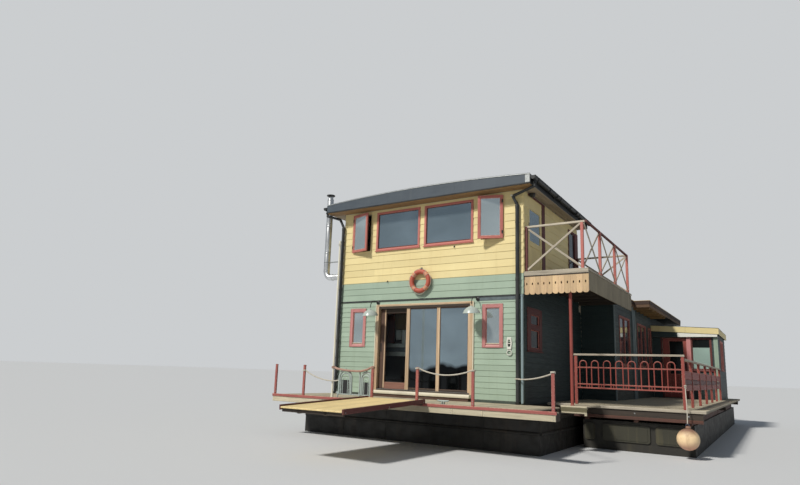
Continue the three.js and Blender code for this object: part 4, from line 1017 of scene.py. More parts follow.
# linings of those two doorways
s = Solid()
a, b, c, d = BAL_DOOR
for q in ((b + 2, 1430, c - 2, d + 40), (a - 2, b + 2, d + 2, d + 40)):
    cbox(s, q[0], q[1], 1, 26, q[2], q[3], 3, 0, T=face_right(W))
a, b, c, d = WING_DOOR
for q in ((a - 50, a - 2, -106, d + 20), (b + 2, b + 50, -106, d + 20), (a - 2, b + 2, d + 2, d + 20)):
    cbox(s, q[0], q[1], 1, 26, q[2], q[3], 3, 0, T=face_front(10350))
make("door_surrounds", s, [RED_IN_PAINTED_SHADE])

# ---------------------------------------------------------------- roof: soffit boards, sheet seams, edge trims
RX0, RX1, RY0, RY1 = -400, 5450, -350, 4340


def arch_z(x):
    t = (x - RX0) / (RX1 - RX0)
    return SOFFIT + 215 + 105 * (1 - (2 * t - 1) ** 2)


s = Solid()
for y0 in (-330, -227, -124):
    x = RX0 + 10
    while x < RX1 - 20:
        x2 = min(x + RND.uniform(2300, 3300), RX1 - 10)
        if RX1 - x2 < 500:
            x2 = RX1 - 10
        cbox(s, x, x2 - 2, y0, y0 + 100, SOFFIT - 19, SOFFIT - 0.6, 3, 0)
        x = x2
for x0 in (W + 24, W + 112, W + 200):
    for y in (-18, 1402, 2822):
        cbox(s, x0, min(x0 + 85, RX1 - 8), y + 2, min(y + 1430, RY1 - 8), SOFFIT - 18, SOFFIT - 0.6, 3, 1)
for x0 in (RX0 + 8, RX0 + 96, RX0 + 184, RX0 + 272):
    for y in (-18, 1402, 2822):
        cbox(s, x0, min(x0 + 85, -22), y + 2, min(y + 1430, RY1 - 8), SOFFIT - 18, SOFFIT - 0.6, 3, 1)
make("soffit_boards", s, [SOFFIT_WOOD, SOFFIT_SIDE])

s = Solid()
N = 44
for y in [RY0 + 14 + i * ((RY1 - RY0 - 28) / 7) for i in range(8)]:
    pts = [(RX0 + 6 + (RX1 - RX0 - 12) * i / N, y, arch_z(RX0 + 6 + (RX1 - RX0 - 12) * i / N) + 8) for i in range(N + 1)]
    prof = [(-9, -10), (-7, 12), (-4, 16), (4, 16), (7, 12), (9, -10)]
    verts, faces = [], []
    for p in pts:
        for a, b in prof:
            verts.append((p[0], p[1] + a, p[2] + b))
    m = len(prof)
    for i in range(N):
        for j in range(m):
            faces.append([i * m + j, i * m + (j + 1) % m, (i + 1) * m + (j + 1) % m, (i + 1) * m + j])
    faces += [list(range(m)), [N * m + j for j in range(m)]]
    s.put(verts, faces, 0)
make("roof_seams", s, [SLATE_G])

s = Solid()
for yf, sg in ((RY0, -1), (RY1, 1)):
    # top edge roll, facing sheet in three lengths, and the drip below it
    top = [(RX0 + (RX1 - RX0) * i / 40, yf + sg * 6, arch_z(RX0 + (RX1 - RX0) * i / 40) - 4) for i in range(41)]
    tube(s, top, 9, 8, 1)
    for a, b in ((RX0 + 1, 1620), (1626, 3560), (3566, RX1 - 1)):
        n = 12
        pts = [(a + (b - a) * i / n, arch_z(a + (b - a) * i / n) - 10) for i in range(n + 1)]
        prism(s, [(a, SOFFIT + 8)] + pts + [(b, SOFFIT + 8)], 1, yf + sg * 0.6, yf + sg * 4, 0, along=0)
    cbox(s, RX0 + 1, RX1 - 1, yf + sg * 1, yf + sg * 11, SOFFIT + 1, SOFFIT + 22, 2, 2)
cbox(s, RX1 - 116, RX1 - 6, RY0 - 9, RY0 - 4, SOFFIT + 24, SOFFIT + 205, 2, 1)
bolt(s, (RX1 - 60, RY0 - 9, SOFFIT + 150), (0, -1, 0), 9, 5, 1)
for x, sg in ((RX0, -1), (RX1, 1)):
    for y in range(3):
        a = RY0 + 1 + y * (RY1 - RY0) / 3
        cbox(s, min(x + sg * 0.6, x + sg * 11), max(x + sg * 0.6, x + sg * 11), a, a + (RY1 - RY0) / 3 - 3, SOFFIT + 2, SOFFIT + 205, 2, 2)
make("roof_fascia_sheet", s, [SLATE_G, GALV, BLACK])


# ---------------------------------------------------------------- gutters and downpipes
def gutter(name, side, replaces):
    s = Solid()
    xa = RX1 + 12.5 if side > 0 else RX0 - 12.5
    sg = side
    zt = SOFFIT + 165
    # half-round trough with a rolled lip, hollow
    prof = [(0, zt)]
    for i in range(11):
        a = math.pi * i / 10
        prof.append((56 - 56 * math.cos(a), zt - 18 - 62 * math.sin(a) - 6))
    prof += [(112, zt - 6), (112, zt)]
    inner = [(108, zt)] + [(56 - (56 - 4) * math.cos(math.pi - math.pi * i / 10), zt - 18 - 58 * math.sin(math.pi - math.pi * i / 10) - 6) for i in range(11)] + [(4, zt)]
    ring = prof + inner
    verts, faces = [], []
    m = len(ring)
    for y in (RY0 - 8, RY1 - 1):
        for a, b in ring:
            verts.append((xa + sg * a, y, b))
    faces += [[j, (j + 1) % m, m + (j + 1) % m, m + j] for j in range(m)]
    # end faces, as strips between the outer and the inner line
    k = len(prof)
    for base in (0, m):
        for j in range(12):
            o1, o2 = base + j, base + j + 1
            i1, i2 = base + m - 1 - j, base + m - 2 - j
            faces.append([o1, o2, i2, i1] if base == 0 else [o2, o1, i1, i2])
        faces.append([base + 12, base + 13, base + 14] if base == 0 else [base + 13, base + 12, base + 14])
    s.put(verts, faces, 0)
    for y in (RY0 - 9, RY1 - 5):
        prism(s, [(xa + sg * a, b) for a, b in prof], 1, y, y + 4, 0)
    tube(s, [(xa + sg * 112, RY0 - 6, zt - 2), (xa + sg * 112, RY1 - 3, zt - 2)], 6, 8, 0)
    y = RY0 + 240
    while y < RY1 - 100:
        pts = [(xa - sg * 10, y, zt - 4)] + [(xa + sg * (56 - 60 * math.cos(math.pi * i / 10)), y, zt - 24 - 66 * math.sin(math.pi * i / 10)) for i in range(11)] + [(xa + sg * 116, y, zt)]
        tube(s, pts, 5, 6, 0, flat=2.2)
        y += 820
    for y in (1250, 2900):
        pts = [(xa + sg * (56 - 59 * math.cos(math.pi * i / 10)), y, zt - 24 - 65 * math.sin(math.pi * i / 10)) for i in range(11)]
        tube(s, pts, 8, 6, 0, flat=4)
    # outlet, swan neck and downpipe
    ox = xa + sg * (50 if side > 0 else 60)
    px, py = (5037, -70) if side > 0 else (-10, -70)
    pr = 44 if side > 0 else 42
    if side > 0:
        run = [(ox, -230, SOFFIT + 80), (ox, -230, SOFFIT - 47), (4950, -120, SOFFIT - 180), (px, py, SOFFIT - 385), (px, py, SOFFIT - 440)]
    else:
        run = [(ox, -230, SOFFIT + 80), (ox, -230, SOFFIT - 50), (-120, -95, SOFFIT - 155), (px, py, SOFFIT - 385), (px, py, SOFFIT - 440)]
    for p0, p1 in zip(run, run[1:]):
        tube(s, [p0, p1], 33, 18, 0)
    for p0 in run[1:-1]:
        lathe(s, [(0, -35)] + [(35 * math.cos(math.pi * (i / 8 - 0.5)), 35 * math.sin(math.pi * (i / 8 - 0.5))) for i in range(1, 8)] + [(0, 35)], p0, (0, 0, 1), 20, 0)
    for p0, p1 in ((run[1], run[2]), (run[2], run[3])):
        v = Vector(p1) - Vector(p0)
        for t in (38, v.length - 64):
            lathe(s, [(0, 0), (37, 0), (37, 26), (0, 26)], Vector(p0) + v.normalized() * t, tuple(v.normalized()), 20, 0)
    if side > 0:
        lathe(s, [(0, -24), (22, -20), (30, -2), (24, 18), (0, 26)], (4930, -148, SOFFIT - 168), (0.3, 0.2, 1), 14, 1)
    lathe(s, [(0, 0), (52, 0), (52, 26), (42, 34), (42, 84), (0, 84)], (ox, -230, zt - 150), (0, 0, 1), 24, 0)
    lathe(s, [(0, 0), (pr, 0), (pr, SOFFIT - 395 + 88), (pr - 6, SOFFIT - 390 + 88), (0, SOFFIT - 390 + 88)], (px, py, -88), (0, 0, 1), 24, 0)
    for z in (SOFFIT - 472, 2560, 1180):
        lathe(s, [(0, 0), (pr + 3, 0), (pr + 4, 6), (pr + 4, 66), (pr + 2, 76), (0, 76)], (px, py, z), (0, 0, 1), 24, 0)
    for z in (3900, 3300, 2050, 760, 260):
        lathe(s, [(0, 0), (pr + 4, 0), (pr + 4, 30), (0, 30)], (px, py, z), (0, 0, 1), 20, 0)
        cbox(s, px - 14, px + 14, py + 40, -17, z + 4, z + 26, 2, 0)
    shoe, _ = spline([(px, py, -40), (px, py, -80), (px, py - 22, -112), (px, py - 58, -128)], 8)
    tube(s, shoe, 38, 16, 0)
    make(name, s, [BLACK, CREAM], replaces=replaces)


gutter("gutter_starboard", 1, ("right_gutter",))
gutter("gutter_port", -1, ("left_gutter",))
s = Solid()
lathe(s, [(0, 0), (28, 0), (28, 2330), (36, 2336), (38, 2352), (28, 2368), (0, 2372)], (5136, -50, -120), (0, 0, 1), 20, 0)
for z in (300, 1150, 1900):
    lathe(s, [(0, 0), (32, 0), (32, 26), (0, 26)], (5136, -50, z), (0, 0, 1), 20, 0)
cbox(s, 5088, 5103, -19.5, -16.6, -88, 2145, 1, 1)
make("corner_pipe", s, [PIPE_BLUE, BLACK])

# ---------------------------------------------------------------- stove flue
s = Solid()
FX, FY, R = -740, 180, 88
for a, b in ((3158, 3720), (3726, 4520), (4526, 5300)):
    lathe(s, [(0, a), (R - 3, a), (R - 1, a + 6), (R - 1, b - 6), (R - 3, b), (0, b)], (FX, FY, 0), (0, 0, 1), 40, 0)
    for z in (a + 10, b - 52):
        lathe(s, [(0, z), (R + 1, z), (R + 3, z + 6), (R + 1, z + 18), (R + 3, z + 30), (R + 1, z + 42), (0, z + 42)], (FX, FY, 0), (0, 0, 1), 40, 0)
lathe(s, [(0, 5296), (R - 20, 5296), (R - 20, 5365), (0, 5365)], (FX, FY, 0), (0, 0, 1), 32, 0)
elbow, _ = spline([(FX, FY, 3240), (FX, FY, 3170), (FX + 16, FY, 3110), (FX + 60, FY, 3040), (FX + 130, FY, 3006), (FX + 220, FY, 3000), (-350, FY, 3000), (-40, FY, 3000)], 22)
tube(s, elbow, 82, 28, 0)
for x in (-530, -330, -70):
    lathe(s, [(0, 0), (87, 0), (90, 8), (90, 28), (87, 36), (0, 36)], (x, FY, 3000), (1, 0, 0), 32, 0)
lathe(s, [(0, 0), (150, 0), (150, 5), (92, 14), (0, 14)], (-19, FY, 3000), (-1, 0, 0), 32, 0)
lathe(s, [(0, 0), (R + 6, 0), (R + 8, 10), (R + 6, 20), (0, 20)], (FX, FY, 3425), (0, 0, 1), 40, 1)
for y in (-16, 16):
    cbox(s, FX + 70, -14, FY + y - 4, FY + y + 4, 3424, 3450, 2, 1)
cbox(s, -16, -8, FY - 60, FY + 60, 3395, 3480, 2, 1)
make("flue_pipe", s, [STEEL, GALV], replaces=("stove_flue",))
s = Solid()
lathe(s, [(0, 5398), (118, 5402), (120, 5408), (120, 5424), (60, 5430), (0, 5431)], (FX, FY, 0), (0, 0, 1), 40, 0)
for i in range(3):
    a = 2 * math.pi * i / 3 + 0.5
    cbox(s, FX + 62 * math.cos(a) - 5, FX + 62 * math.cos(a) + 5, FY + 62 * math.sin(a) - 5, FY + 62 * math.sin(a) + 5, 5330, 5405, 1, 0)
make("flue_cap", s, [BLACK_IRON])

# ---------------------------------------------------------------- lifebuoy
s = Solid()
C, RR, rr = Vector((2500, -80, 2690)), 240, 57
n, m = 72, 24
verts, faces, mats, g = [], [], [], []
for i in range(n):
    a = 2 * math.pi * i / n
    for j in range(m):
        b = 2 * math.pi * j / m
        q = RR + rr * math.cos(b)
        verts.append((C.x + q * math.cos(a), C.y + rr * 0.96 * math.sin(b), C.z + q * math.sin(a)))
        g.append((a * RR, rr * math.cos(b), rr * math.sin(b)))
for i in range(n):
    band = (i % 18) in (7, 8, 9, 10)
    for j in range(m):
        faces.append([i * m + j, i * m + (j + 1) % m, ((i + 1) % n) * m + (j + 1) % m, ((i + 1) % n) * m + j])
        mats.append(1 if band else 0)
s.put(verts, faces, mats, 0.0, g)
for i in range(4):
    for k in (-1, 1):
        a = 2 * math.pi * (i + 0.5) / 4 + k * 0.185
        ca, sa = math.cos(a), math.sin(a)
        pts = [(C.x + (RR + (rr + 1.5) * math.cos(b)) * ca, C.y + (rr + 1.5) * math.sin(b), C.z + (RR + (rr + 1.5) * math.cos(b)) * sa) for b in [2 * math.pi * j / 28 for j in range(28)]]
        tube(s, pts, 4, 8, 2, closed=True)
    a0, a1 = 2 * math.pi * (i + 0.5) / 4 + 0.185, 2 * math.pi * (i + 1.5) / 4 - 0.185
    pts = []
    for j in range(25):
        t = j / 24
        a = a0 + (a1 - a0) * t
        q = RR + rr + 6 + 16 * math.sin(math.pi * t)
        pts.append((C.x + q * math.cos(a), C.y - 12, C.z + q * math.sin(a) - 10 * math.sin(math.pi * t)))
    tube(s, pts, 6, 8, 2)
cbox(s, 2476, 2524, -24, -17, 2985, 3045, 2, 3)
tube(s, [(2500, -20, 3010), (2500, -70, 3004), (2500, -90, 2990), (2500, -92, 3018)], 6, 8, 3)
BUOY = paint("buoy_salmon", (190, 96, 74), (172, 82, 64), kind="o", dirt=0.3, dirt_col=(150, 84, 66), rough=(0.5, 0.7), grain=(30, 30, 30))
BAND = paint("buoy_band", (212, 150, 118), (198, 136, 106), kind="o", dirt=0.35, dirt_col=(170, 130, 100), rough=(0.5, 0.7), grain=(60, 60, 60))
make("lifebuoy_ring", s, [BUOY, BAND, ROPE_GREY, BLACK_IRON], replaces=("lifebuoy",), sharp=50)

# ---------------------------------------------------------------- wall lamps, ornament and hooks
s = Solid()
T = face_front()
ENAMEL = paint("enamel_pale", (182, 192, 186), (164, 174, 168), dirt=0.2, dirt_col=(120, 110, 90), rough=(0.25, 0.4), chips=0)
for x, z in ((1220, 1900), (4045, 1893)):
    lathe(s, [(0, 0), (44, 0), (44, 10), (30, 18), (0, 18)], T(Vector((x, 26, z + 300))), (0, -1, 0), 20, 1)
    arm, _ = spline([T(Vector((x, 30, z + 300))), T(Vector((x, 130, z + 330))), T(Vector((x, 290, z + 300))), T(Vector((x, 346, z + 215))), T(Vector((x, 350, z + 140)))], 12)
    tube(s, arm, 10, 10, 1)
    prof = [(0, 168), (30, 166), (34, 150), (60, 142), (120, 112), (168, 62), (196, 8), (200, -2), (194, -2), (160, 52), (112, 100), (0, 128)]
    lathe(s, prof, T(Vector((x, 350, z - 60))), (0, -0.12, 1), 40, 0)
    # a black liner inside each dish: painted shade under the lamp shade
    lathe(s, [(0, -6), (193, -6), (193, 3), (150, 60), (0, 90)], T(Vector((x, 350, z - 60))), (0, -0.12, 1), 40, 1)
make("wall_lamps", s, [ENAMEL, BLACK_IRON, WHITE])

s = Solid()
# a cast oval bracket with a slot, and a ring that hangs under it
cx, cz = 4822, 1165
pts = []
for i in range(48):
    a = 2 * math.pi * i / 48
    k = (abs(math.cos(a)) ** 3.2 + abs(math.sin(a)) ** 3.2) ** (-1 / 3.2)
    k *= 1 + 0.05 * math.cos(6 * a)
    pts.append((66 * k * math.cos(a), 138 * k * math.sin(a)))
verts, faces = [], []
m = len(pts)
for k, (fx, fz, d) in enumerate(((1, 1, 8), (1, 1, 26), (0.84, 0.9, 38), (0.5, 0.62, 34), (0.46, 0.58, 14))):
    for p in pts:
        verts.append((cx + p[0] * fx, d, cz + p[1] * fz))
for k in range(4):
    for j in range(m):
        faces.append([k * m + j, k * m + (j + 1) % m, (k + 1) * m + (j + 1) % m, (k + 1) * m + j])
faces += [list(range(m)), [4 * m + j for j in range(m)]]
s.put(verts, faces, [0] * (4 * m) + [0, 1], T=T)
cbox(s, cx - 34, cx + 34, 15, 32, cz - 9, cz + 9, 4, 0, T=T)
ring = [T(Vector((cx + 4 + 54 * math.cos(2 * math.pi * i / 32), 34, 962 + 54 * math.sin(2 * math.pi * i / 32)))) for i in range(32)]
tube(s, ring, 10, 10, 0, closed=True)
lathe(s, [(0, 0), (18, 0), (18, 24), (0, 26)], T(Vector((cx + 4, 12, 1018))), (0, -1, 0), 12, 1)
make("wall_ornament", s, [WHITE, BLACK_IRON])

s = Solid()
for x, z in ((1490, 2748), (3408, 3500), (5010, 3540)):
    lathe(s, [(0, 0), (20, 0), (20, 5), (0, 5)], T(Vector((x, 15, z))), (0, -1, 0), 12, 0)
    hook, _ = spline([T(Vector((x, 18, z))), T(Vector((x, 46, z))), T(Vector((x, 58, z - 14))), T(Vector((x, 50, z - 28))), T(Vector((x, 36, z - 22)))], 6)
    tube(s, hook, 5, 8, 0)
make("wall_hooks", s, [BLACK_IRON])

# ---------------------------------------------------------------- front deck: boards, joists, fascia, edge strip and posts
s = Solid()
x = -300
i = 0
while x < 6500 - 20:
    w = min(138, 6500 - x)
    wide = x + w <= 5931
    if not wide and x < 5930:
        w = 5930 - x
        wide = True
    cbox(s, x + 2.5, x + w - 2.5, -2018, -1.5 if wide else -1782, -178, -150, 4, 0, along=1)
    for y in (-1970, -1150, -250) if wide else (-1970, -1830):
        for dx in (34, w - 34):
            if w > 80:
                lathe(s, [(0, 0), (5, 0), (5, 1.2), (0, 1.6)], (x + dx, y, -151), (0, 0, 1), 6, 1)
    x += w
make("front_deck_boards", s, [DECK, GALV], replaces=("front_deck",))
s = Solid()
for y in (-2018, -1200, -300):
    cbox(s, -298, 6498 if y < -2000 else 5928, y, y + 98, -309, -179, 4, 0)
for x in (-298, 1200, 2800, 4400, 5830):
    cbox(s, x, x + 98, -1919, -3, -300, -180, 4, 0)
cbox(s, 6400, 6498, -1919, -1782, -300, -180, 4, 0)
make("front_deck_joists", s, [DARK_WOOD])
s = Solid()
for a, b in ((-298, 1190), (1194, 3110), (3114, 4476), (4480, 5110), (5114, 6498)):
    cbox(s, a, b, -2045, -2021, -305, -176, 4, 0)
    for z in (-205, -275):
        for x in (a + 40, b - 40):
            bolt(s, (x, -2044, z), (0, -1, 0), 6, 4, 1)
make("front_deck_fascia", s, [FASCIA, GALV])
s = Solid()
for a, b in ((-300, 2130), (2132, 4480), (4482, 6520)):
    cbox(s, a, b, -2060, -2021, -174.5, -135, 5, 0)
    cbox(s, a, b, -2062, -2046, -192, -137, 4, 0)
POSTS = [(-230, 550), (650, 550), (2565, 565), (3674, 570), (4908, 550), (6460, 550)]
for x, z in POSTS:
    cbox(s, x - 29, x + 29, -2060, -2021, -138, z - 16, 5, 0)
    prism(s, [(x - 31, z - 18), (x + 31, z - 18), (x + 31, z - 10), (x, z), (x - 31, z - 10)], 1, -2062, -2019, 0, along=0)
    for zz in (-90, -40):
        bolt(s, (x, -2059, zz), (0, -1, 0), 7, 5, 1)
make("deck_edge_timber", s, [RED_DECK, GALV], replaces=("deck_edge_posts",))


# ---------------------------------------------------------------- hooped iron panel, pole and cleat
def hoop(s, x, y, half, z0, top, r, mat=0, n=10):
    pts = [(x - half, y, z0), (x - half, y, (z0 + top - half) / 2), (x - half, y, top - half - 6)]
    for i in range(17):
        a = math.pi - math.pi * i / 16
        pts.append((x + half * math.cos(a), y, top - half + half * math.sin(a)))
    pts += [(x + half, y, top - half - 6), (x + half, y, (z0 + top - half) / 2), (x + half, y, z0)]
    tube(s, pts, r, n, mat)


s = Solid()
y = -1995
cbox(s, 1600, 2530, y - 10, y + 10, -70, -45, 3, 0)
for x, half, top in ((1810, 165, 455), (2375, 128, 420)):
    hoop(s, x, y, half, -60, top, 25)
    hoop(s, x, y, half * 0.72, -60, top - 62, 15)
    hoop(s, x, y, half * 0.42, -60, top - 150, 9)
    cbox(s, x - half * 0.9, x + half * 0.9, y - 3, y + 3, -60, top - 205, 2, 1)
    for a in (-1, 1):
        for zz in (40, 190):
            tube(s, [(x + a * half, y, zz), (x + a * half * 0.55, y, zz + 8)], 6, 8, 0)
    lathe(s, [(0, 0), (20, 0), (22, 8), (12, 20), (12, 34), (0, 40)], (x, y, top + 8), (0, 0, 1), 16, 0)
    for a in (-1, 1):
        tube(s, [(x + a * half, y, 150), (x + a * half * 0.78, y, 176), (x + a * half * 0.55, y, 150)], 6, 8, 0)
for x in (1610, 2200, 2520):
    z = 440 if x == 2200 else 0
    cbox(s, x - 12, x + 12, y - 12, y + 12, -149, z, 3, 0)
    lathe(s, [(0, 0), (34, 0), (34, 6), (16, 12), (0, 12)], (x, y, -149), (0, 0, 1), 16, 0)
lathe(s, [(0, 0), (18, 4), (20, 20), (12, 34), (0, 40)], (2200, y, 438), (0, 0, 1), 16, 0)
make("front_iron_hoops", s, [IRON, BLACK_IRON], replaces=("front_hoop_panel",))

s = Solid()
lathe(s, [(0, -149), (70, -149), (70, -141), (30, -138), (30, -60), (22, -56), (22, 3412), (16, 3420), (0, 3420)], (1420, -1950, 0), (0, 0, 1), 20, 0)
for a in range(4):
    t = math.pi / 4 + a * math.pi / 2
    bolt(s, (1420 + 52 * math.cos(t), -1950 + 52 * math.sin(t), -141), (0, 0, 1), 7, 5, 0)
for z in (1180, 2300):
    lathe(s, [(0, 0), (29, 0), (29, 36), (0, 36)], (1420, -1950, z), (0, 0, 1), 20, 0)
tube(s, [(1420, -1950, 3330), (1420, -1990, 3344), (1420, -2006, 3326), (1420, -1996, 3306), (1420, -1970, 3312)], 6, 8, 0)
make("deck_pole_tube", s, [POLE_PALE], replaces=("deck_pole",))

s = Solid()
cbox(s, 4150, 4290, -1990, -1900, -149, -136, 3, 0)
verts = []
cbox(s, 4188, 4206, -1968, -1922, -138, -76, 4, 0)
cbox(s, 4234, 4252, -1968, -1922, -138, -76, 4, 0)
horn, _ = spline([(4092, -1945, -62), (4130, -1945, -72), (4220, -1945, -76), (4310, -1945, -72), (4348, -1945, -62)], 8)
tube(s, horn, lambda t: 20 - 9 * abs(2 * t - 1) ** 3, 14, 0)
for dx in (4168, 4272):
    for dy in (-1972, -1918):
        bolt(s, (dx, dy, -137), (0, 0, 1), 8, 5, 0)
make("deck_cleat", s, [IRON], replaces=("mooring_cleat",), sharp=45)

# ---------------------------------------------------------------- gangplank
ca, sa = math.cos(math.radians(2.45)), math.sin(math.radians(2.45))
TP = lambda q: Vector((q.x, -2072 + q.y * ca - q.z * sa, -53 + q.y * sa + q.z * ca))
s = Solid()
PX0, PX1, PL = 2480, 3890, 2620
n = 10
w = (PX1 - PX0 - 64) / n
for i in range(n):
    cbox(s, PX0 + 32 + i * w + 1.5, PX0 + 32 + (i + 1) * w - 1.5, -PL, -1, -58, -30, 4, 0, along=1, T=TP)
for y in (-PL + 60, -PL * 0.75, -PL / 2, -PL * 0.25, -70):
    for i in range(n):
        for dx in (0.25, 0.75):
            lathe(s, [(0, 0), (4.5, 0), (4.5, 1), (0, 1.5)], TP(Vector((PX0 + 32 + (i + dx) * w, y, -30.5))), (0, 0, 1), 6, 3)
for x in (PX0, PX1 - 32):
    cbox(s, x, x + 32, -PL, 0, -88, 0, 5, 1, T=TP)
# the beams under the plank are dark timber: painted shade under the plank
for x in (PX0 + 380, PX1 - 440):
    cbox(s, x, x + 60, -PL + 40, -30, -132, -59, 4, 2, T=TP)
for y in (-PL + 40, -PL / 2, -90):
    cbox(s, PX0 + 33, PX1 - 33, y, y + 50, -120, -59, 4, 2, T=TP)
for x in (PX0 + 16, PX1 - 16):
    for y in (-PL + 65, -PL / 2 + 25, -65):
        sgn = -1 if x < 3000 else 1
        bolt(s, TP(Vector((x + sgn * 15, y, -60))), (sgn, 0, 0), 8, 5, 3)
make("gangplank_boards", s, [PLANK_TOP, RED_IN_PAINTED_SHADE, DARK_WOOD, GALV], "boarding_plank", ("gangplank",))

# ---------------------------------------------------------------- balcony
BX0, BX1, BY0, BY1, BT = W + 0.5, 6588, 20, 4400, 2770
s = Solid()
nb = 10
w = (BX1 - 12 - BX0 - 20) / nb
for i in range(nb):
    cbox(s, BX0 + 20 + i * w + 2, BX0 + 20 + (i + 1) * w - 2, BY0 + 26, BY1 - 2, BT - 26, BT + 0.5, 4, 0, along=1)
cbox(s, BX0, BX1, BY0 - 19, BY0 + 25, BT - 98, BT + 2, 6, 1)
cbox(s, BX0, BX1, BY0 - 8, BY0 - 4.5, BT - 122, BT - 99, 1, 2)
cbox(s, BX1 - 14, BX1 + 2, BY0 + 26, BY1, BT - 42, BT + 3, 5, 1)
for y in [BY0 + 45 + 620 * i for i in range(7)]:
    cbox(s, BX0, BX1 - 42, y, y + 60, BT - 234, BT - 28, 4, 2)
cbox(s, BX1 - 90, BX1 - 43, BY0 + 45, BY1 - 45, BT - 234, BT - 28, 4, 2)
for a, b in ((BY0 + 24, 2100), (2103, BY1)):
    k = max(1, round((b - a) / 145))
    for i in range(k):
        cbox(s, BX1 - 41, BX1 - 13, a + (b - a) * i / k + 1.5, a + (b - a) * (i + 1) / k - 1.5, 2308, 2728, 4, 3, along=2)
cbox(s, BX0 + 1, BX1 - 42, BY1 - 40, BY1 - 2, 2500, BT - 28, 4, 2)
BROWN_GREY = wood("beam_grey_brown", (158, 148, 124), (126, 116, 96), worn=(160, 152, 136), dirt=0.35, dirt_col=(84, 80, 62))
make("balcony_floor", s, [DECK, GREY_WOOD, DARK_WOOD, BROWN_GREY], replaces=("balcony_deck",))

# scalloped boards with a drilled hole each
s = Solid()
n = 11
w = (BX1 - BX0) / n
for i in range(n):
    a = BX0 + i * w + 1
    b = a + w - 2
    zt, zb = BT - 46, 2248
    c = (a + b) / 2
    for d0, d1 in ((BY0 - 4, BY0 + 22),):
        # the outline, split in columns round the hole so that the hole is open
        hr, hz = 15, 2486
        outer = [(a, zt), (a, zb + 40)]
        for t, z in ((0.14, 12), (0.34, 0), (0.66, 0), (0.86, 12)):
            outer.append((a + t * (b - a), zb + z))
        outer += [(b, zb + 40), (b, zt)]
        m = 16
        hole = [(c + hr * math.cos(2 * math.pi * k / m + math.pi / 2), hz + hr * 2.1 * math.sin(2 * math.pi * k / m + math.pi / 2)) for k in range(m)]
        # left half and right half, each a ring segment from the top of the hole to its bottom
        left = [(c, zt), (a, zt), (a, zb + 40), (a + 0.14 * (b - a), zb + 12), (a + 0.34 * (b - a), zb), (c, zb)] + [hole[k] for k in range(m // 2, -1, -1)]
        right = [(c, zb), (a + 0.66 * (b - a), zb), (a + 0.86 * (b - a), zb + 12), (b, zb + 40), (b, zt), (c, zt)] + [hole[k % m] for k in range(m, m // 2 - 1, -1)]
        tone = RND.random()
        for half in (left, right):
            prism(s, half, 1, d0, d1, 0, along=2, tone=tone)
    for z in (BT - 150, BT - 400):
        for x in (a + 24, b - 24):
            lathe(s, [(0, 0), (4, 0), (4, 1), (0, 1.4)], (x, BY0 - 4, z), (0, -1, 0), 6, 1)
make("balcony_scalloped_boards", s, [LARCH, GALV], replaces=("balcony_front_skirt",))

s = Solid()
BRX, BYS, ZT, Z0 = BX1 - 45, [50, 1180, 2650, 4120], 3834, BT + 1
BRC = BRX - 90
for y in BYS:
    c = BRC if y == BYS[0] else BRX
    cbox(s, c - 31, c + 31, y, y + 62, Z0, ZT - 46 if y == BYS[0] else ZT - 8, 5, 0)
for y in (BYS[0], BYS[3]):
    cbox(s, BX0 + 18, BX0 + 70, y, y + 62, Z0, ZT - 10, 4, 1)
cbox(s, BRX - 25, BRX + 25, BYS[0] + 10, BYS[3] + 50, ZT - 45, ZT, 5, 1)
for y in (BYS[0], BYS[3]):
    cbox(s, BX0 + 24, BRX - 26, y + 8, y + 54, ZT - 45, ZT, 5, 2)


def brace(s, p, q, w, d, mat):
    """A flat bar between two points, w wide in the plane that holds z, d thick."""
    p, q = Vector(p), Vector(q)
    ax = (q - p)
    L = ax.length
    ax.normalize()
    side = ax.cross(Vector((0, 0, 1))).normalized()
    up_ = side.cross(ax)
    T = lambda v: p + ax * v.x + side * v.y + up_ * v.z
    cbox(s, 0, L, -d / 2, d / 2, -w / 2, w / 2, 3, mat, T=T)


for i in range(3):
    a, b = BYS[i] + 62, BYS[i + 1]
    xs = BRX if i else BRC + 31
    if i == 0:
        a -= 30
    brace(s, (xs - 9, a, Z0 + 60), (BRX - 9, b, ZT - 60), 44, 18, 2)
    brace(s, (xs + 10, a, ZT - 60), (BRX + 10, b, Z0 + 60), 44, 18, 2)
for y, c in ((BYS[0] + 31, BRC), (BYS[3] + 31, BRX)):
    brace(s, (BX0 + 68, y - 9, Z0 + 50), (c - 30, y - 9, ZT - 60), 44, 18, 2)
    brace(s, (BX0 + 68, y + 10, ZT - 60), (c - 30, y + 10, Z0 + 50), 44, 18, 2)
make("balcony_rail_timber", s, [RED, RED_IN_PAINTED_SHADE, GREY_WOOD], replaces=("balcony_railing",))

s = Solid()
lathe(s, [(0, -109), (46, -109), (46, -96), (34, -90), (34, 2712), (44, 2716), (44, 2723), (0, 2723)], (6150, 160, 0), (0, 0, 1), 24, 0)
make("balcony_prop", s, [RED_RAIL], replaces=("balcony_post",))

# ---------------------------------------------------------------- side deck and its railings
s = Solid()
y = 1130
while y < 13650 - 5:
    w = min(145, 13650 - y)
    if w < 40:
        break
    x_end = 8550
    if y < 4500:
        cbox(s, 5301, x_end, y + 2.5, y + w - 2.5, -138, -110, 4, 0, along=0)
    elif y < 10350:
        cbox(s, 5301 if y > 4500 else 6090, x_end, y + 2.5, y + w - 2.5, -138, -110, 4, 0, along=0)
    else:
        cbox(s, 5301, x_end, y + 2.5, y + w - 2.5, -138, -110, 4, 0, along=0)
    y += w
x = 5940
while x < 6479:
    w = min(108, 6480 - x)
    cbox(s, x + 2, x + w - 2, 51, 1100, -138, -110, 4, 0, along=1)
    x += w
cbox(s, 5302, 8549, 1101, 1129, -169, -111, 4, 3)
cbox(s, 5941, 6479, 20, 50, -141, -111, 4, 2)
cbox(s, 5941, 6479, 24, 50, -230, -142, 4, 4)
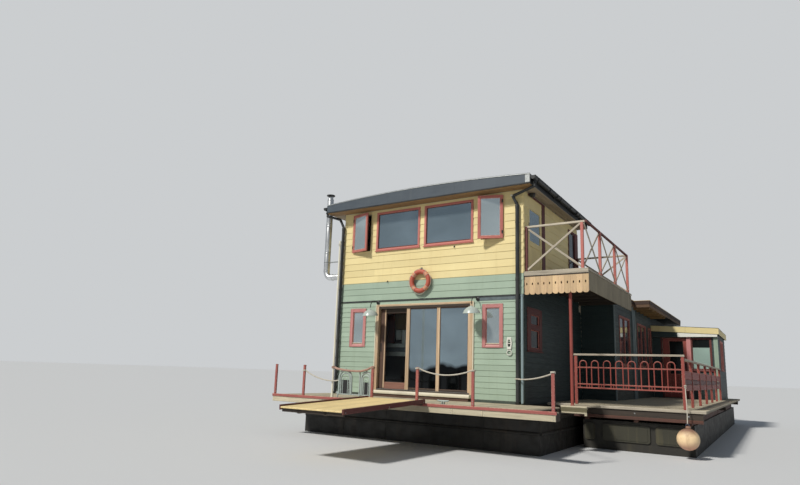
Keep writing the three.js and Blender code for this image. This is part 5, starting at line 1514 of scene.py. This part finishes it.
cbox(s, 5941, 6479, 20, 50, -259, -231, 4, 2)
cbox(s, 6430, 6479, 22, 48, -300, -260, 4, 2)
cbox(s, 5942, 6478, 51, 120, -169, -139, 3, 1)
cbox(s, 8521, 8549, 1131, 13648, -169, -139, 4, 1)
make("side_deck_boards", s, [DECK, BROWN_GREY, FASCIA, GREY_WOOD, wood("olive_board", (112, 106, 78), (88, 82, 60), worn=(132, 126, 98), dirt=0.35, dirt_col=(64, 60, 42))], replaces=("side_deck",))
s = Solid()
for y in (1132, 7200, 13300):
    cbox(s, 5330, 8490, y, y + 99, -309, -170.5, 5, 2)
cbox(s, 5900, 8490, 1112, 1131, -372, -306, 4, 0)
for x in (6100, 7140, 8180):
    for a, b in ((1232, 7199), (7301, 13299)):
        cbox(s, x, x + 90, a, b, -429, -170.5, 5, 0)
for x in (6145, 7185, 8225):
    bolt(s, (x, 1131, -240), (0, -1, 0), 12, 9, 1)
make("side_deck_bearers", s, [wood("bearer_red_brown", (96, 60, 48), (66, 42, 36), worn=(120, 88, 72), dirt=0.4, dirt_col=(50, 46, 34)), GALV, DARK_WOOD], replaces=("side_deck_frame",))

X0, X1, RYY = 5960, 8165, 1142
s = Solid()
for x in (X0, X1):
    cbox(s, x - 30, x + 30, RYY - 30, RYY + 30, -109, 969, 5, 0)
prism(s, [(RYY - 42, 970), (RYY + 42, 970), (RYY + 42, 999), (RYY + 30, 1010), (RYY - 30, 1010), (RYY - 42, 999)], 0, X0 - 40, X1 + 38, 1, along=0)
for z, k in ((702, 14), (335, 14), (255, 14)):
    cbox(s, X0 + 30, X1 - 30, RYY - 12, RYY + 12, z - k, z + k, 3, 0)
for i in range(8):
    hoop(s, 6120 + 260 * i, RYY, 75, 250, 854, 12, 0, 10)
    if i < 7:
        tube(s, [(6120 + 260 * i + 130, RYY, 266), (6120 + 260 * i + 130, RYY, 326)], 9, 8, 0)
make("side_front_rail", s, [RED_RAIL, GREY_WOOD], replaces=("side_front_railing",))

s = Solid()
X = X1 - 5
Y0, Y1 = RYY + 43, 10240
for y in (2500, 4050, 5600, 7150, 8700, 10200):
    cbox(s, X - 30, X + 30, y - 30, y + 30, -109, 904, 5, 0)
    for z in (330, 450, 595):
        bolt(s, (X + 30, y, z), (1, 0, 0), 8, 6, 3)
prism(s, [(X - 42, 895), (X + 42, 895), (X + 42, 924), (X + 32, 935), (X - 32, 935), (X - 42, 924)], 1, Y0, Y1, 1, along=1)
for k, (a, b) in enumerate(((270, 390), (402, 498), (510, 680))):
    y = Y0
    for e in (4050, 7150, Y1):
        cbox(s, X - 14, X + 14, y, e - 2, a, b, 4, 2 if k == 1 else 0)
        y = e
make("side_long_rail", s, [RED_RAIL, GREY_WOOD, RED_IN_PAINTED_SHADE, GALV], replaces=("side_long_railing",))

# ---------------------------------------------------------------- ball fender and its line
s = Solid()
FC, FR = Vector((8224, 865, -662)), 212
prof = [(0, -FR)]
for i in range(1, 20):
    a = -math.pi / 2 + math.pi * i / 20
    prof.append((FR * math.cos(a) * (1 if a < 0.9 else 1 - 0.05 * (a - 0.9)), FR * math.sin(a)))
prof += [(52, FR + 2), (50, FR + 34), (36, FR + 44), (0, FR + 44)]
lathe(s, prof, FC, (0.05, 0.02, 1), 40, 0)
ring = [FC + Vector((30 * math.cos(2 * math.pi * i / 24), 0, FR + 52 + 30 * math.sin(2 * math.pi * i / 24))) for i in range(24)]
tube(s, ring, 11, 10, 1, closed=True)
line, _ = spline([FC + Vector((0, 0, FR + 76)), (8222, 905, -300), (8216, 985, -60), (8200, 1066, 150), (8192, 1102, 300), (8186, 1110, 392)], 6)
tube(s, line, 10, 12, 2, shape=strands(10))
knot = [(8192 + 18 * math.cos(a), 1104 + 12 * math.sin(a), 330 + 14 * a / 3) for a in [2 * math.pi * i / 14 for i in range(30)]]
tube(s, knot, 9, 10, 2, shape=strands(9))
m = Mat("fender_vinyl", rough=0.55)
zz = m.node("ShaderNodeTexCoord").outputs["Object"]
sep = m.node("ShaderNodeSeparateXYZ")
m.put(sep.inputs[0], zz)
grime_and_shade_noise = m.noise(m.vec("o", (6, 6, 2.4)), 1, 6, 0.65, 0.6)
fz = row(8224, 865, -662).z
c = m.mix(m.span(m.math("ADD", sep.outputs[2], m.math("MULTIPLY", grime_and_shade_noise, 0.12)), fz + 0.12, fz + 0.24, 0, 1), lin(238, 208, 164), lin(140, 106, 88))
# darker rose over the lower half: painted shade on the underside
c = m.mix(m.span(m.math("ADD", sep.outputs[2], m.math("MULTIPLY", grime_and_shade_noise, 0.1)), fz - 0.12, fz + 0.02, 0.75, 0), c, lin(190, 130, 112))
c = m.mix(m.span(grime_and_shade_noise, 0.52, 0.72, 0, 0.5), c, lin(150, 116, 86))
m.bump(m.noise(m.vec("o", 60), 1, 4), 0.12, 0.002)
FENDER = m.done(c, m.span(grime_and_shade_noise, 0.3, 0.7, 0.4, 0.7))
make("fender_ball", s, [FENDER, plastic("fender_eye_navy", (30, 40, 66)), ROPE_GREY], replaces=("ball_fender",), sharp=50)

# ---------------------------------------------------------------- rear part: posts, trims, roofs
s = Solid()
# the wing's corner post, the board between its door and its window, the white board under the fascia
cbox(s, 7196, 7336, 10306, 10322, -106, 2008, 4, 4)
cbox(s, 7255, 7318, 10323, 10349, -106, 2000, 4, 0)
cbox(s, 8040, 8172, 10318, 10349, -109, 2003, 5, 1)
prism(s, [(6940, 2006), (8172, 2006), (8172, 2092), (6940, 2165)], 1, 10231, 10249, 2, along=0)
# left of x 6938 the board under the fascia is dark green, not white: painted shade of the rear roof's shadow
prism(s, [(6090, 2006), (6938, 2006), (6938, 2165), (6090, 2216)], 1, 10231, 10249, 5, along=0)
prism(s, [(6090, 2010), (8172, 2010), (8172, 2024), (6090, 2024)], 1, 10250, 10349, 5, along=0)
cbox(s, 6071, 6094, 4480, 4500, -109, 2715, 3, 3)
cbox(s, 6072, 6108, 4476, 4496, -109, 2715, 4, 3)
for y in (6900, 7150):
    cbox(s, 6086, 6130, y, y + 44, -109, 2715, 4, 3)
PALE_GREEN = paint("post_pale_green", (150, 170, 152), (132, 152, 136), dirt=0.4, dirt_col=(104, 108, 84), worn=(190, 196, 176), chips=0.5)
make("wing_posts_and_trim", s, [RED, PALE_GREEN, WHITE, BLUEGREY, ROSE, DARK_GREEN])
# a dark sheet over the upper part of the wing window's pane: a painted dark reflection above the pale green one
s = Solid()
cbox(s, 7378, 7922, -8.8, -7.4, 1640, 1922, 0.5, 0, T=face_front(10350))
make("window_wing_painted_dark_reflection", s, [GLASS_NIGHT])

s = Solid()
# edge boards of the rear roof
EZ0, EZ1 = 2722, 2908
outline = [(-300, 4307), (W, 4307), (W, 4460), (6130, 4460), (6130, 7000), (6600, 7000), (6600, 13900), (-300, 13900)]
for (ax, ay), (bx, by) in zip(outline, outline[1:] + outline[:1]):
    if (ax, ay) == (-300, 4307) or ((ax, ay) == (W, 4307)):
        continue
    d = Vector((bx - ax, by - ay, 0))
    L = d.length
    d.normalize()
    nrm = Vector((d.y, -d.x, 0))
    o = Vector((ax, ay, 0))
    T = lambda q, o=o, d=d, nrm=nrm: o + d * q.x + nrm * q.y + Vector((0, 0, q.z))
    k = max(1, round(L / 3000))
    for i in range(k):
        cbox(s, L * i / k + (1 if i else -18), L * (i + 1) / k - (1 if i < k - 1 else -18), 0.6, 18, 2796, EZ1, 4, 0, T=T)
        cbox(s, L * i / k + (1 if i else -12), L * (i + 1) / k - (1 if i < k - 1 else -12), 0.6, 12, EZ0 - 18, 2794, 4, 2, T=T)
    cbox(s, -20, L + 20, -40, 24, EZ1 + 1, EZ1 + 14, 3, 1, T=T)
EAVES = wood("eaves_brown", (150, 118, 72), (118, 90, 54), worn=(166, 136, 92), dirt=0.35, dirt_col=(80, 66, 42))
make("rear_roof_edge_boards", s, [wood("rear_fascia", (72, 52, 40), (50, 36, 30), worn=(104, 84, 68), dirt=0.4, dirt_col=(44, 40, 30)),
                                  wood("rear_edge_tan", (206, 176, 118), (178, 148, 96), worn=(220, 196, 146), dirt=0.3, dirt_col=(120, 100, 66)),
                                  wood("rear_lower_board", (116, 88, 62), (88, 66, 48), worn=(140, 112, 84), dirt=0.35, dirt_col=(60, 50, 36))])
s = Solid()
for i in range(6):
    a = 7002 + i * 3338 / 6
    for x0 in (6092, 6176, 6260, 6344, 6428, 6512):
        cbox(s, x0, x0 + 82, a, a + 3338 / 6 - 2, 2700, 2719, 3, 0, along=1)
for i in range(6):
    y = 7080 + i * 600
    cbox(s, 6092, 6580, y, y + 60, 2640, 2699, 4, 0)
make("rear_eaves_boards", s, [EAVES])
s = Solid()
for i in range(1, 12):
    y = 4200 + i * 800
    x1 = W if y < 4460 else 6120 if y < 7000 else 6590
    cbox(s, -290, x1, y, y + 60, 2910.5, 2918, 2, 0)
make("rear_roof_felt_laps", s, [FELT])
s = Solid()
WX1, WY0 = 8205, 10230
zt = lambda x: 2420 - 0.06 * (x - 6070)
for a, b in ((6072, 7200), (7203, WX1 + 16)):
    prism(s, [(a, zt(a) - 200), (b, zt(b) - 200), (b, zt(b) - 6), (a, zt(a) - 6)], 1, WY0 - 18, WY0 - 0.6, 0, along=0)
for a, b in ((WY0 - 0.5, 12000), (12003, 13750)):
    cbox(s, WX1 + 0.6, WX1 + 16, a, b, zt(WX1) - 200, zt(WX1) - 6, 4, 0)
prism(s, [(6072, zt(6072) + 1), (WX1 + 22, zt(WX1) + 1), (WX1 + 22, zt(WX1) + 10), (6072, zt(6072) + 10)], 1, WY0 - 24, WY0 + 30, 1, along=0)
cbox(s, WX1 - 10, WX1 + 22, WY0 + 30, 13750, zt(WX1) - 3, zt(WX1) + 9, 3, 1)
make("wing_fascia", s, [YELLOW, SLATE_G])

# balcony lamp by the door head, black
s = Solid()
T = face_right(W)
cbox(s, 300, 420, 27, 50, 4652, 4694, 4, 0, T=T)
lathe(s, [(0, 0), (60, 0), (70, 30), (60, 90), (20, 110), (0, 110)], T(Vector((360, 50, 4672))), (1, 0, -0.3), 20, 0)
make("balcony_lamp", s, [BLACK_IRON])

# ---------------------------------------------------------------- hull: strakes, seams, and the pontoon's rounded bow panels
s = Solid()
HX0, HX1, HY0, HY1, HT = -150, 5850, -1000, 14200, -310
for z in (HT - 60, HT - 330):
    for x in (HX0, HX1):
        tube(s, [(x, HY0 + 40, z), (x, HY1 - 40, z)], 34, 10, 0)
    tube(s, [(HX0 + 10, HY0, z), (HX1 - 10, HY0, z)], 34, 10, 0)
    tube(s, [(HX0 + 10, HY1, z), (HX1 - 10, HY1, z)], 34, 10, 0)
for i in range(1, 9):
    y = HY0 + i * (HY1 - HY0) / 9
    for x, sg in ((HX0, -1), (HX1, 1)):
        cbox(s, x - (6 if sg < 0 else 0), x + (6 if sg > 0 else 0), y - 5, y + 5, -1260, HT - 4, 2, 0)
for i in range(1, 5):
    x = HX0 + i * (HX1 - HX0) / 5
    cbox(s, x - 5, x + 5, HY0 - 6, HY0, -1260, HT - 4, 2, 0)
make("hull_strakes", s, [HULL])
s = Solid()
for x0, x1, z0, z1 in ((6480, 7450, -860, -500), (6090, 6300, -860, -500), (7560, 8230, -860, -500)):
    k = 60
    pts = []
    for cx_, cz_, a0 in ((x1 - k, z1 - k, 0), (x0 + k, z1 - k, 90), (x0 + k, z0 + k, 180), (x1 - k, z0 + k, 270)):
        for i in range(6):
            a = math.radians(a0 + 18 * i)
            pts.append((cx_ + k * math.cos(a), cz_ + k * math.sin(a)))
    prism(s, pts, 1, 1270, 1299.5, 0, along=0)
    inner = [((p[0] - (x0 + x1) / 2) * 0.9 + (x0 + x1) / 2, (p[1] - (z0 + z1) / 2) * 0.82 + (z0 + z1) / 2) for p in pts]
    prism(s, inner, 1, 1262, 1271, 0, along=0)
make("pontoon_bow_panels", s, [paint("panel_olive", (60, 58, 44), (46, 45, 34), dirt=0.6, dirt_col=(96, 88, 60), chips=0.4)])

# ---------------------------------------------------------------- finishes of the CAD nodes that stay
FINISH = {
    "main_hull": HULL, "side_pontoon": PANEL, "cabin_floor": FLOOR_IN, "upper_floor": FLOOR_IN,
    "upper_roof": SLATE, "rear_roof": FELT, "wing_roof": FELT,
}
for n, o in frame["nodes"].items():
    if o.hide_render:
        continue
    m = FINISH.get(n, INSIDE)
    for slot_ in o.material_slots:
        slot_.material = m
    if not o.material_slots:
        o.data.materials.append(m)

# ---------------------------------------------------------------- floor and light
me = bpy.data.meshes.new("floor")
me.from_pydata([(-400, -400, WATER), (400, -400, WATER), (400, 400, WATER), (-400, 400, WATER)], [], [(0, 1, 2, 3)])
fm = Mat("floor_pale", rough=0.75)
me.materials.append(fm.done((0.62, 0.63, 0.64, 1)))
floor = bpy.data.objects.new("floor", me)
SC.collection.objects.link(floor)

sun = bpy.data.objects.new("key", bpy.data.lights.new("key", "SUN"))
sun.data.energy = 3.45
sun.data.angle = math.radians(7)
sun.data.color = (1.0, 0.965, 0.9)
sun.rotation_mode = "QUATERNION"
sun.rotation_quaternion = Vector((-0.41, -1, 1.08)).to_track_quat("Z", "Y")
SC.collection.objects.link(sun)

world = bpy.data.worlds.new("studio")
SC.world = world
world.use_nodes = True
nt = world.node_tree
nt.nodes.clear()
out = nt.nodes.new("ShaderNodeOutputWorld")
bg = nt.nodes.new("ShaderNodeBackground")
tc = nt.nodes.new("ShaderNodeTexCoord")
sp = nt.nodes.new("ShaderNodeSeparateXYZ")
rp = nt.nodes.new("ShaderNodeValToRGB")
rp.color_ramp.elements[0].position = 0.0
rp.color_ramp.elements[0].color = (0.62, 0.66, 0.70, 1)
rp.color_ramp.elements[1].position = 0.7
rp.color_ramp.elements[1].color = (0.36, 0.42, 0.50, 1)
lp = nt.nodes.new("ShaderNodeLightPath")
mx = nt.nodes.new("ShaderNodeMix")
mx.data_type = "RGBA"
mx.inputs[7].default_value = (1.36, 1.40, 1.43, 1)
nt.links.new(tc.outputs["Generated"], sp.inputs[0])
nt.links.new(sp.outputs[2], rp.inputs[0])
nt.links.new(lp.outputs["Is Camera Ray"], mx.inputs[0])
nt.links.new(rp.outputs[0], mx.inputs[6])
nt.links.new(mx.outputs[2], bg.inputs[0])
nt.links.new(bg.outputs[0], out.inputs[0])
bg.inputs[1].default_value = 0.44

SC.view_settings.view_transform = "Standard"
SC.view_settings.look = "None"
SC.view_settings.exposure = 0
SC.cycles.use_denoising = True
SC.cycles.max_bounces = 6
SC.cycles.diffuse_bounces = 3
SC.cycles.glossy_bounces = 3
SC.cycles.transparent_max_bounces = 8
